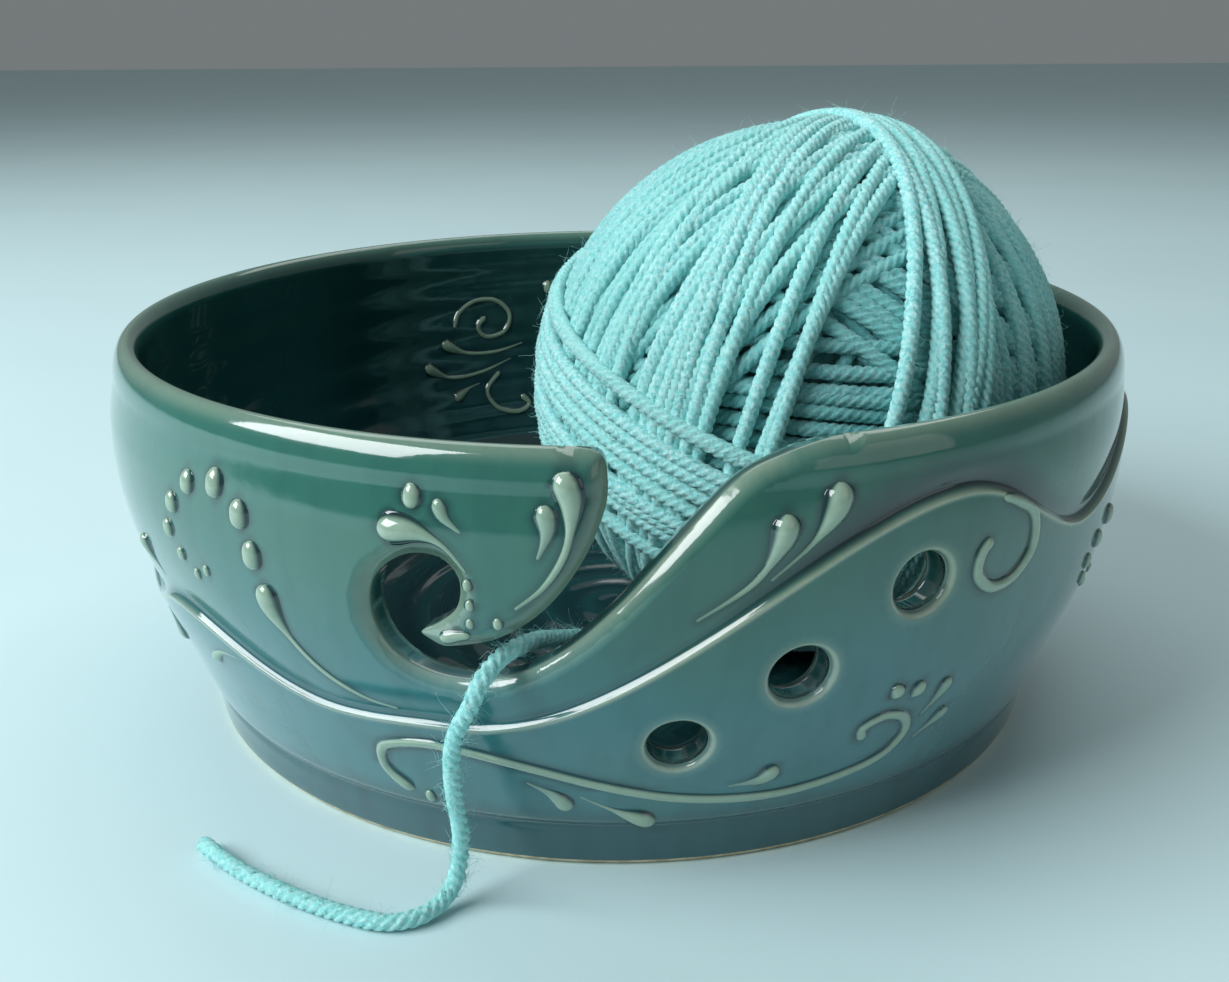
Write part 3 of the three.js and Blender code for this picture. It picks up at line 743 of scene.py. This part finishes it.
def whole_wall(angles):
    """The wall's flat points and their distances from the cuts, its quads, triangles and cut chains."""
    columns = len(angles)
    heights = row_heights(angles)
    grid = np.stack([np.broadcast_to(angles * MM_PER_DEGREE, heights.shape), heights], axis=-1)
    distance = cut_distance(grid.reshape(-1, 2)).reshape(heights.shape)
    after = (np.arange(columns) + 1) % columns
    corner = distance > BAND
    kept = corner[:-1] & corner[1:] & corner[:-1][:, after] & corner[1:][:, after]
    region = np.nonzero(np.abs(angles) < CUT_REACH)[0]
    first, width = region[0], len(region)
    part, part_kept = grid[:, first:first + width], kept[:, first:first + width - 1]
    out, source, used, triangles, chains = cut_band(part, part_kept, width)
    number = np.empty(len(out), int)
    new, number_of = [], {}
    for k, s in enumerate(source):
        if 0 <= s < len(used):
            number[k] = used[s] // width * columns + first + used[s] % width
        else:
            number[k] = number_of[s] = heights.size + len(new)
            new.append(k)
    on_edge = {s for chain in chains for s in chain}
    new_distance = np.where([source[k] in on_edge for k in new], 0, cut_distance(out[new]))
    i, j = np.nonzero(kept)
    low, high = i * columns, (i + 1) * columns
    quads = np.stack([low + j, low + after[j], high + after[j], high + j], axis=-1)
    points = np.vstack([grid.reshape(-1, 2), out[new]])
    chains = [np.array([number_of[s] for s in chain]) for chain in chains]
    return points, np.append(distance, new_distance), quads, number[triangles], chains


def join_through(parts, chain, wall, outer, inner, inner_of):
    """The faces of one cut, from its outer edge through the wall to its inner edge."""
    levels = 4
    places = wall[chain]
    ladder = [chain]
    for level in range(1, levels):
        share = level / levels
        radius = outer[chain] * (1 - share) + inner[chain] * share
        # The cut faces are darkened as painted shade, more towards the inside.
        rung = parts.put(
            polar(places[:, 0] / MM_PER_DEGREE, radius, places[:, 1]),
            pale=0.12 if level == 1 else 0.0, pool=0.3, within=0.3 + 0.3 * share, bare=0.0,
        )
        rung = np.where(np.isclose(places[:, 1], RIM_TOP), chain, rung)
        if chain[0] == chain[-1]:
            rung[-1] = rung[0]
        ladder.append(rung)
    ladder.append(inner_of[chain])
    for a, b in zip(ladder, ladder[1:]):
        for corners in zip(a[1:], a, b, b[1:]):
            face = list(dict.fromkeys(corners))
            if len(face) == 4:
                parts.join(quads=[face])
            elif len(face) == 3:
                parts.join(triangles=[face])


# The rows below the grid: down the outside to the foot and the recessed base, and down the inside to
# the floor. Each is (height, radius), where a radius of None means the wall's own.
OUTSIDE_ROWS = [(h, None) for h in (
    15, 14, 13, 12, 11, 10.2, 9.6, 9.1, 8.7, 8.3, 7.9, 7.5, 7.1, 6.7, 6.3, 5.9, 5.4, 4.6, 3.7, 2.8, 2.0,
    1.4, 1.05, 0.8,
)]
OUTSIDE_ROWS += [
    (0.62, 77.55), (0.42, 77.4), (0.2, 77.15), (0.06, 76.9), (0, 76.6), (0, 74.4), (0, 71), (0, 68.6),
    (0.12, 68.2), (0.5, 67.8), (1.3, 67.1), (1.8, 66.5), (2, 65.8),
]
OUTSIDE_ROWS += [(2, radius) for radius in np.arange(60, 4, -6)]
INSIDE_ROWS = [(h, None) for h in (
    15.2, 14.4, 13.6, 12.8, 12, 11.3, 10.7, 10.2, 9.7, 9.3, 8.9, 8.6, 8.3, 8.05, 7.85, 7.7, 7.58, 7.47,
    7.36, 7.26, 7.17, 7.08,
)]
INSIDE_ROWS += [(FLOOR_HEIGHT, radius) for radius in np.arange(44, 0.6, -0.7)]


def outside_row(turn, height, radius):
    """The radius, height and looks of a row on the way down the outside."""
    bare = 1.0
    if radius is None:
        radius = radius_on(OUTER_WALL, height) + unevenness(turn, height) * smooth(height, 9, 15)
        radius = radius - 0.55 * bell(height - 7.4, 0.95)
        bare = 1 - smooth(height, 0.75, 1.15)
    # The colour darkens towards the foot.
    pool = 0.55 * smooth(height, 13, 7.5)
    return radius, height, {"pale": 0.0, "pool": pool, "within": 0.0, "bare": bare}


def inside_row(turn, height, radius):
    """The radius, height and looks of a row on the way down the inside, with the floor's spiral."""
    if radius is None:
        radius = radius_on(INNER_WALL, height) + finger_rings(turn, height) * smooth(height, 9, 15)
    reach = smooth(radius, 60, 46)
    crest = (1 + np.cos(2 * np.pi * (radius + 1.4 * SWAY(turn)) / 8.2 - turn)) / 2
    height = height - 0.55 * reach * (1 - crest) * smooth(radius, 0.2, 4)
    # The pale on the spiral's crests is a painted highlight; the troughs are darker.
    pale, pool = 0.16 * reach * crest ** 4, 0.35 * reach * (1 - crest)
    return radius, height, {"pale": pale, "pool": pool, "within": 1.0, "bare": 0.0}


def close_below(parts, ring, angles, rows, shape, centre_height, outside):
    """Rings from the grid's lowest row down through the rows, and a fan to the bowl's axis."""
    for h, r in rows:
        height = np.full(len(angles), float(h))
        radius = None if r is None else np.full(len(angles), float(r))
        radius, height, looks = shape(np.radians(angles), height, radius)
        lower = parts.put(polar(angles, radius, height), **looks)
        quads = np.stack([lower, np.roll(lower, -1), np.roll(ring, -1), ring], axis=-1)
        parts.join(quads if outside else quads[:, ::-1])
        ring = lower
    looks = {"pale": 0.0, "pool": 0.1, "within": float(not outside), "bare": float(outside)}
    centre = parts.put(np.array([[0, 0, centre_height]]), **looks)
    fan = np.stack([ring, np.repeat(centre, len(ring)), np.roll(ring, -1)], axis=-1)
    parts.join(triangles=fan if outside else fan[:, ::-1])


def make_bowl():
    angles = column_angles()
    wall, distance, quads, triangles, chains = whole_wall(angles)
    outer, inner = cut_radii(wall, np.maximum(distance, 0))
    angle, height = wall[:, 0] / MM_PER_DEGREE, wall[:, 1]
    parts = Parts()
    outer_of = parts.put(polar(angle, outer, height), **bowl_looks(wall, distance, False), bare=0.0)
    inner_of = parts.put(polar(angle, inner, height), **bowl_looks(wall, distance, True), bare=0.0)
    top = np.abs(height - RIM_TOP) < 1e-6
    inner_of[top] = outer_of[top]
    parts.join(quads, triangles)
    parts.join(inner_of[quads][:, ::-1], inner_of[triangles][:, ::-1])
    for chain in chains:
        join_through(parts, chain, wall, outer, inner, inner_of)
    lowest = np.arange(len(angles))
    close_below(parts, lowest, angles, OUTSIDE_ROWS, outside_row, 2.0, True)
    close_below(parts, inner_of[lowest], angles, INSIDE_ROWS, inside_row, FLOOR_HEIGHT - 0.02, False)
    bowl = parts.build("bowl_thrown")
    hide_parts("bowl_body")
    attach(bowl, "bowl")
    return bowl


bowl = make_bowl()


def bead_section():
    """Places across a bead in half widths, its rise at each, and whether each is on its underside."""
    flank = [0.24, 0.46, 0.66, 0.8, 0.9, 1.02, 1.18, 1.34]
    top = np.array([-x for x in reversed(flank)] + [0] + flank)
    t = np.clip((np.abs(top) - 0.8) / 0.54, 0, 1)
    fillet = 0.6 * (2 * t ** 3 - 3 * t ** 2 + 1) - 0.72 * (t ** 3 - 2 * t ** 2 + t)
    dome = np.sqrt(1 - np.clip(np.abs(top), 0, 0.8) ** 2)
    rise = np.where(np.abs(top) > 0.8, fillet, dome)
    under = np.append(np.zeros(len(top)), [1, 1, 1])
    return np.append(top, [0.9, 0.0, -0.9]), np.append(rise, [0, 0, 0]), under


def make_slip():
    """A domed, glazed bead for each trail, with its skirt run out into the wall."""
    across, rise, under = bead_section()
    side = np.abs(across)[None, :]
    made = []
    for name, (nodes, trails, inside) in SLIP.items():
        parts = Parts()
        for trail in trails:
            ahead = unit(np.gradient(trail.line, axis=0))
            normal = np.stack([ahead[:, 1], -ahead[:, 0]], axis=-1)
            half, thin = trail.half[:, None], trail.thin[:, None]
            points = trail.line[:, None] + normal[:, None] * (across[None, :] * half)[..., None]
            flat_points = points.reshape(-1, 2)
            outer, inner = cut_radii(flat_points, np.maximum(cut_distance(flat_points), 0))
            wall = (inner if inside else outer).reshape(points.shape[:2])
            lift = 0.8 * half * (1 - 0.35 * thin) * rise[None, :] - 0.05 - 0.6 * under[None, :]
            radius = wall + (-1 if inside else 1) * lift
            rings = polar(points[..., 0] / MM_PER_DEGREE, radius, points[..., 1])
            pale = smooth(side, 1.04, 0.7) * (1 - 0.45 * thin)
            pool = pooled(np.maximum(side - 1, 0) * half, half) * smooth(side, 0.78, 1.02)
            if inside:
                rings, pale, pool = rings[:, ::-1], pale[:, ::-1], pool[:, ::-1]
            # Slip inside the bowl takes the same painted shade as the inside wall.
            parts.add_tube(rings, pale=pale.ravel(), pool=pool.ravel(), within=float(inside), bare=0.0)
        piece = parts.build(name)
        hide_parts(*nodes)
        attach(piece, "bowl")
        made.append(piece)
    return made


slip_pieces = make_slip()


# ---- the ball of yarn ----

BALL_CENTRE = np.array([32.8, -10, 54.9])
# right, up and towards the camera, as seen from the front
VIEW = np.array([[0.989, -0.147, 0], [0.038, 0.256, 0.966], [-0.142, -0.956, 0.259]])
CORE_RADIUS = 39.5
SHELL_RADIUS = 46                    # where the windings lie, near enough to measure along them
SPACING = 2.6


def seen(right, up, towards):
    """A direction given as seen from the front of the bowl."""
    return unit(np.array([right, up, towards]) @ VIEW)


def fan(turn):
    """The pole of a winding that passes through an axis near the crown, turned round that axis."""
    axis = unit(np.array([0.24, 0.92, 0.31]))
    across = unit(np.cross(axis, [0, 0, 1]))
    behind = np.cross(axis, across)
    turn = math.radians(turn)
    return seen(*(math.cos(turn) * across + math.sin(turn) * behind))


class Winding:
    """Loops of yarn laid one after another on a ball, each on what is already there."""

    def __init__(self, seed):
        self.rng = np.random.default_rng(seed)
        count = 42000
        k = np.arange(count) + 0.5
        polar_angle, turn = np.arccos(1 - 2 * k / count), np.pi * (1 + 5 ** 0.5) * k
        self.spots = np.stack([
            np.cos(turn) * np.sin(polar_angle), np.sin(turn) * np.sin(polar_angle), np.cos(polar_angle),
        ], axis=-1)
        self.height = np.full(count, CORE_RADIUS)
        self.tree = KDTree(count)
        for i, spot in enumerate(self.spots * SHELL_RADIUS):
            self.tree.insert(spot, i)
        self.tree.balance()
        self.loops = []

    def lay(self, pole, offset, limit, sway, detail, lift):
        """One loop round a pole, at an offset along it, its centre no further out than the limit."""
        e1 = unit(np.cross(pole, [0.31, 0.52, 0.79]))
        e2 = np.cross(pole, e1)
        count = round(2 * np.pi * SHELL_RADIUS / (0.8 if detail > 1 else 1.1))
        t = np.arange(count) * 2 * np.pi / count
        shift = (offset + sway(t)) / SHELL_RADIUS
        ring = np.sqrt(np.maximum(1 - shift ** 2, 0.05))[:, None]
        direction = pole * shift[:, None] + ring * (np.cos(t)[:, None] * e1 + np.sin(t)[:, None] * e2)
        touched = [self.tree.find_range(spot, 1.15) for spot in direction * SHELL_RADIUS]
        base = np.array([
            max((self.height[i] for _, i, d in near if d < 0.9), default=CORE_RADIUS) for near in touched
        ])
        # the strand is stiff, so it bridges the dips, and it sinks a little into what is under it
        widest = np.maximum.reduce([np.roll(base, s) for s in (-2, -1, 0, 1, 2)])
        kernel = np.exp(-(np.arange(-5, 6) / 2.6) ** 2)
        kernel /= kernel.sum()
        taut = sum(w * np.roll(widest, s) for w, s in zip(kernel, range(-5, 6)))
        radius = taut + 0.84 * YARN_RADIUS + lift
        radius = np.minimum(radius, limit + 0.25 * np.tanh(radius - limit))
        for k, near in enumerate(touched):
            for _, i, d in near:
                reach = radius[k] + math.sqrt(max(YARN_RADIUS ** 2 - d * d, 0.05)) * 0.88
                self.height[i] = max(self.height[i], reach)
        self.loops.append((direction, radius, detail))

    def band(self, pole, strands, limit, centre=0.0, detail=2, spread=0.02, lift=0.0):
        """A band of strands side by side, laid from one edge to the other."""
        common = value_noise(int(self.rng.integers(1 << 30)), 4)
        places = centre + (np.arange(strands) - (strands - 1) / 2) * SPACING
        if self.rng.random() < 0.5:
            places = places[::-1]
        for place in places:
            own = value_noise(int(self.rng.integers(1 << 30)), 5)
            tilted = unit(pole + self.rng.normal(0, spread, 3))
            self.lay(tilted, place, limit, lambda t: 0.9 * common(t) + 0.22 * own(t), detail, lift)


def wind():
    """The ball's windings from the core outwards, the last of them the bands that the front shows."""
    winding = Winding(3)
    rng = np.random.default_rng(21)
    for k, pole in enumerate(unit(rng.normal(0, 1, (9, 3)))):
        winding.band(pole, 12, 41.6 + 0.1 * k, centre=rng.uniform(-8, 8), detail=0 if k < 4 else 1)
    winding.band(seen(0.05, 0.97, 0.22), 13, 43.2)
    winding.band(seen(0.45, 0.82, -0.35), 12, 43.6, centre=9)
    winding.band(seen(0.62, -0.7, 0.34), 11, 43.9, centre=-6)
    for turn, strands, limit, spread in (
        (60, 13, 44.5, 0.03), (88, 9, 44.2, 0.03), (-72, 10, 44.5, 0.025), (-50, 9, 45.0, 0.025),
        (-30, 9, 45.4, 0.03), (-13, 8, 45.8, 0.035),
    ):
        winding.band(fan(turn), strands, limit, spread=spread)
    winding.band(seen(0.264, 0.859, 0.437), 10, 46.7, centre=-3)
    for turn, offset in ((20, 0.5), (27, 1.2), (33, -0.8), (34.5, 1.6), (41, 0), (24, -1.5), (38, 2.4)):
        winding.band(fan(turn), 1, 46.9, centre=offset, detail=3, spread=0.05, lift=0.5)
    return winding


def core_rings():
    """A plain sphere inside the windings, so that nothing shows through them; it is coloured as full
    painted shade, dark.
    """
    turn = np.linspace(0, 2 * np.pi, 48, endpoint=False)[::-1]
    down = np.linspace(0.08, np.pi - 0.08, 30)[:, None]
    height = np.broadcast_to(np.cos(down), (30, 48))
    sphere = np.stack([np.sin(down) * np.cos(turn), np.sin(down) * np.sin(turn), height], axis=-1)
    return BALL_CENTRE + (CORE_RADIUS + 0.9) * sphere


def make_ball():
    winding = wind()
    rng = np.random.default_rng(4)
    parts = Parts()
    # The core is coloured as full painted shade.
    parts.add_tube(core_rings(), tone=0.3, deep=1.0)
    for direction, radius, detail in winding.loops:
        path = direction * radius[:, None]
        count = len(path)
        tangents = unit(np.roll(path, -1, axis=0) - np.roll(path, 1, axis=0))
        normals = unit(path - tangents * (path * tangents).sum(1, keepdims=True))
        length = np.linalg.norm(np.roll(path, -1, axis=0) - path, axis=1).sum()
        turns = max(1, round(length / PLY_PITCH)) * (count - 1) / count
        uneven = value_noise(int(rng.integers(1 << 30)), 30)
        thickness = YARN_RADIUS * (1 + 0.035 * uneven(np.linspace(0, 2 * np.pi, count)))
        rings = plied_rings(path, normals, tangents, thickness, turns, (2, 3, 3, 4)[detail])
        # Windings further in are darkened as painted shade.
        deep = np.repeat(np.clip((45.6 - radius) / 3.2, 0, 1), rings.shape[1])
        parts.add_tube(BALL_CENTRE + rings, closed=True, tone=float(rng.uniform(0, 1)), deep=deep)
    ball = parts.build("yarn_ball_wound")
    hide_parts("yarn_ball")
    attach(ball, "yarn_ball")
    return ball, winding


ball, winding = make_ball()


def make_fuzz(name, roots, outward, count, seed, body):
    """Fine curved fibres that stand off the yarn."""
    rng = np.random.default_rng(seed)
    pick = rng.integers(0, len(roots), count)
    root, out = roots[pick], outward[pick]
    aside = unit(np.cross(out, unit(rng.normal(0, 1, (count, 3)))))
    start = unit(aside + out * rng.uniform(0.1, 0.8, count)[:, None])
    bend, curl = rng.normal(0, 0.8, (count, 3)) - 0.5 * out, rng.normal(0, 0.5, (count, 3))
    size = rng.uniform(0.9, 2.6, count)[:, None]
    steps = np.linspace(0, 1, 7)
    line = np.stack([
        root + size * (start * s + 0.6 * bend * s * s + 0.35 * curl * np.sin(5 * s)) for s in steps
    ], axis=1)
    line[..., 2] = np.maximum(line[..., 2], 0.1)
    tangent = unit(np.gradient(line, axis=1))
    side = unit(np.cross(tangent, np.array([0.2, 0.5, 0.84])))
    other = np.cross(tangent, side)
    thick = 0.03 * (1 - 0.6 * steps)[None, :, None, None]
    angles = (np.arange(3) * 2 * np.pi / 3)[:, None]
    around = np.cos(angles) * side[:, :, None] + np.sin(angles) * other[:, :, None]
    rings = line[:, :, None] + thick * around
    parts = Parts()
    for fibre in rings:
        parts.add_tube(fibre, tone=0.9, deep=0.0)
    fuzz = parts.build(name)
    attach(fuzz, body)
    return fuzz


def fuzz_on_ball():
    high = winding.height > np.percentile(winding.height, 35)
    spots, reach = winding.spots[high], winding.height[high]
    roots = BALL_CENTRE + spots * (reach - 0.25)[:, None]
    return make_fuzz("yarn_ball_fibres", roots, spots, 9000, 8, "yarn_ball")


def fuzz_on_strand():
    """Fibres on the strand past its hidden start, clear of the wall and the table."""
    rng = np.random.default_rng(15)
    path = strand_path[60:-2]
    tangents = unit(np.gradient(path, axis=0))
    around = unit(np.cross(tangents, unit(rng.normal(0, 1, path.shape))))
    clear = (path[:, 2] + around[:, 2] * 1.2 > 1.0) & (around[:, 1] < 0.5)
    roots = path + around * (YARN_RADIUS - 0.2)
    return make_fuzz("yarn_strand_fibres", roots[clear], around[clear], 900, 9, "bowl")


ball_fuzz = fuzz_on_ball()
strand_fuzz = fuzz_on_strand()


# ---- materials ----

def srgb(*levels):
    """A colour given as 0 to 255, as a shader takes it."""
    shares = [level / 255 for level in levels]
    return (*[s / 12.92 if s <= 0.04 else ((s + 0.055) / 1.055) ** 2.4 for s in shares], 1)


class Material:
    """A material whose nodes are added by short calls."""

    def __init__(self, name):
        self.made = bpy.data.materials.new(name)
        self.made.use_nodes = True
        self.tree = self.made.node_tree
        self.shader = self.tree.nodes["Principled BSDF"]

    def set(self, **values):
        for key, value in values.items():
            self.shader.inputs[key.replace("_", " ")].default_value = value

    def node(self, kind, inputs=(), **settings):
        made = self.tree.nodes.new("ShaderNode" + kind)
        for key, value in settings.items():
            setattr(made, key, value)
        for key, value in dict(inputs).items():
            self.put(value, made.inputs[key])
        return made

    def put(self, value, socket):
        if isinstance(value, bpy.types.NodeSocket):
            self.tree.links.new(value, socket)
        else:
            socket.default_value = value

    def attribute(self, name):
        return self.node("Attribute", attribute_name=name).outputs["Fac"]

    def position(self):
        return self.node("TexCoord").outputs["Object"]

    def scaled(self, vector, scale):
        return self.node("Mapping", {"Vector": vector, "Scale": scale}).outputs["Vector"]

    def noise(self, vector, scale, detail=3.0, roughness=0.5):
        inputs = {"Vector": vector, "Scale": scale, "Detail": detail, "Roughness": roughness}
        return self.node("TexNoise", inputs).outputs["Fac"]

    def math(self, operation, a, b):
        return self.node("Math", {0: a, 1: b}, operation=operation).outputs[0]

    def sum(self, a, b):
        return self.math("ADD", a, b)

    def times(self, a, b):
        return self.math("MULTIPLY", a, b)

    def swing(self, value, size):
        """A noise's value turned about 0.5, from -size / 2 to size / 2."""
        return self.times(self.math("SUBTRACT", value, 0.5), size)

    def ranged(self, value, low, high, to_low=0.0, to_high=1.0):
        inputs = {"Value": value, "From Min": low, "From Max": high, "To Min": to_low, "To Max": to_high}
        return self.node("MapRange", inputs, interpolation_type="SMOOTHSTEP").outputs["Result"]

    def mix(self, factor, a, b):
        return self.node("Mix", {0: factor, 6: a, 7: b}, data_type="RGBA").outputs[2]

    def bump(self, height, strength, distance):
        inputs = {"Height": height, "Strength": strength, "Distance": distance}
        self.put(self.node("Bump", inputs).outputs["Normal"], self.shader.inputs["Normal"])

    def give(self, *objects):
        for o in objects:
            o.data.materials.clear()
            o.data.materials.append(self.made)


def glaze(name, pale):
    """A glossy glaze: dark where it is thick, pale where it breaks over edges and slip; painted shade
    darkens the inside and the cut faces, and painted highlights lie along the cut edges and on the floor's
    spiral crests.
    """
    m = Material(name)
    place = m.position()
    height = m.node("SeparateXYZ", {"Vector": place}).outputs["Z"]
    within = m.attribute("within")
    clouds = m.noise(place, 38, 4, 0.55)
    drips = m.noise(m.scaled(place, (1, 1, 0.18)), 190, 3, 0.5)
    green = m.ranged(m.sum(m.ranged(height, 0.012, 0.062), m.swing(clouds, 0.9)), 0.1, 0.95)
    colour = m.mix(green, srgb(60, 120, 126), srgb(48, 106, 94))
    colour = m.mix(m.ranged(drips, 0.42, 0.72, 0, 0.3), colour, srgb(30, 84, 80))
    colour = m.mix(m.ranged(clouds, 0.5, 0.8, 0, 0.25), colour, srgb(80, 134, 128))
    # Painted shade: the inside of the bowl, its slip and the cut faces are darkened.
    colour = m.mix(m.times(within, 0.82), colour, srgb(9, 44, 47))
    # Darker where glaze pools round the slip and in the wave's step; on the cut faces this darkening is
    # painted shade.
    colour = m.mix(m.times(m.attribute("pool"), 0.93), colour, srgb(8, 34, 46))
    speckle = m.noise(place, 900, 2, 0.6)
    breaks = m.times(m.attribute("pale"), m.ranged(speckle, 0.2, 0.7, 0.86, 1.0))
    # The pale marks inside get a shaded copy of the pale colour, darker towards the floor: painted shade.
    shaded_pale = m.mix(m.ranged(height, 0.01, 0.03), srgb(44, 112, 110), srgb(134, 160, 138))
    colour = m.mix(breaks, colour, m.mix(within, pale, shaded_pale))
    sand = m.ranged(m.noise(place, 700, 3, 0.6), 0.35, 0.7)
    bare = m.ranged(m.sum(m.attribute("bare"), m.swing(drips, 0.5)), 0.4, 0.6)
    colour = m.mix(bare, colour, m.mix(sand, srgb(214, 200, 168), srgb(176, 158, 122)))
    m.put(colour, m.shader.inputs["Base Color"])
    rough = m.ranged(m.noise(place, 60, 3), 0.3, 0.75, 0.07, 0.15)
    m.put(m.sum(rough, m.times(bare, 0.72)), m.shader.inputs["Roughness"])
    m.put(m.math("SUBTRACT", 0.7, m.times(bare, 0.7)), m.shader.inputs["Coat Weight"])
    m.set(IOR=1.52, Coat_Roughness=0.04, Coat_IOR=1.5)
    grain = m.sum(m.times(m.noise(place, 260, 2), 0.6), m.times(m.noise(place, 1500, 3), bare))
    m.bump(grain, 0.25, 0.00035)
    return m


glaze("sea_glaze", srgb(206, 214, 188)).give(bowl)
glaze("slip_under_glaze", srgb(150, 176, 156)).give(*slip_pieces)


def yarn_material():
    m = Material("aqua_yarn")
    place = m.position()
    fibres = m.noise(place, 1500, 4, 0.7)
    clouds = m.noise(place, 60, 3, 0.5)
    colour = m.mix(m.ranged(fibres, 0.3, 0.75), srgb(120, 212, 214), srgb(212, 252, 249))
    lot = m.ranged(m.sum(m.attribute("tone"), clouds), 0.6, 1.5, 0, 0.5)
    colour = m.mix(lot, colour, srgb(150, 226, 222))
    # Painted shade darkens the inner windings and the core.
    colour = m.mix(m.times(m.attribute("deep"), 0.65), colour, srgb(44, 140, 146))
    m.put(colour, m.shader.inputs["Base Color"])
    m.put(m.ranged(fibres, 0.3, 0.8, 0.72, 0.95), m.shader.inputs["Roughness"])
    m.set(
        Sheen_Weight=0.55, Sheen_Roughness=0.35, Sheen_Tint=srgb(210, 250, 248), Specular_IOR_Level=0.25,
        Subsurface_Weight=0.12, Subsurface_Radius=(0.6, 1.0, 1.0), Subsurface_Scale=0.0012,
    )
    m.bump(fibres, 0.9, 0.0004)
    return m


yarn_material().give(strand, ball, ball_fuzz, strand_fuzz)


# ---- floor and light ----

def make_floor():
    size = 3000
    corners = np.array([[-size, -size, 0], [size, -size, 0], [size, size, 0], [-size, size, 0]], float)
    floor = new_mesh("floor", corners, [np.array([[0, 1, 2, 3]])])
    m = Material("pale_table")
    colour = m.mix(m.noise(m.position(), 9, 3), srgb(196, 226, 230), srgb(206, 233, 236))
    m.put(colour, m.shader.inputs["Base Color"])
    m.set(Roughness=0.5)
    m.give(floor)


def area_light(name, place, aim, size, power, colour):
    data = bpy.data.lights.new(name, "AREA")
    data.shape, data.size, data.size_y = "RECTANGLE", size[0], size[1]
    data.energy, data.color = power, colour
    lamp = bpy.data.objects.new(name, data)
    bpy.context.scene.collection.objects.link(lamp)
    lamp.location = place
    lamp.rotation_euler = (Vector(aim) - Vector(place)).to_track_quat("-Z", "Y").to_euler()


make_floor()
area_light("window", (-0.8, -0.35, 0.66), (0, 0, 0.04), (0.8, 0.6), 13.5, (0.95, 0.98, 1.0))
area_light("overhead", (0.0, 0.5, 0.9), (0, 0, 0.03), (1.2, 0.6), 4, (1.0, 1.0, 1.0))
area_light("fill", (0.8, -0.6, 0.35), (0, 0, 0.04), (0.6, 0.6), 0.6, (1.0, 0.95, 0.88))
world = bpy.data.worlds.new("studio")
world.use_nodes = True
world.node_tree.nodes["Background"].inputs["Color"].default_value = (0.42, 0.46, 0.47, 1)
world.node_tree.nodes["Background"].inputs["Strength"].default_value = 0.42
bpy.context.scene.world = world
bpy.context.scene.view_settings.view_transform = "Standard"
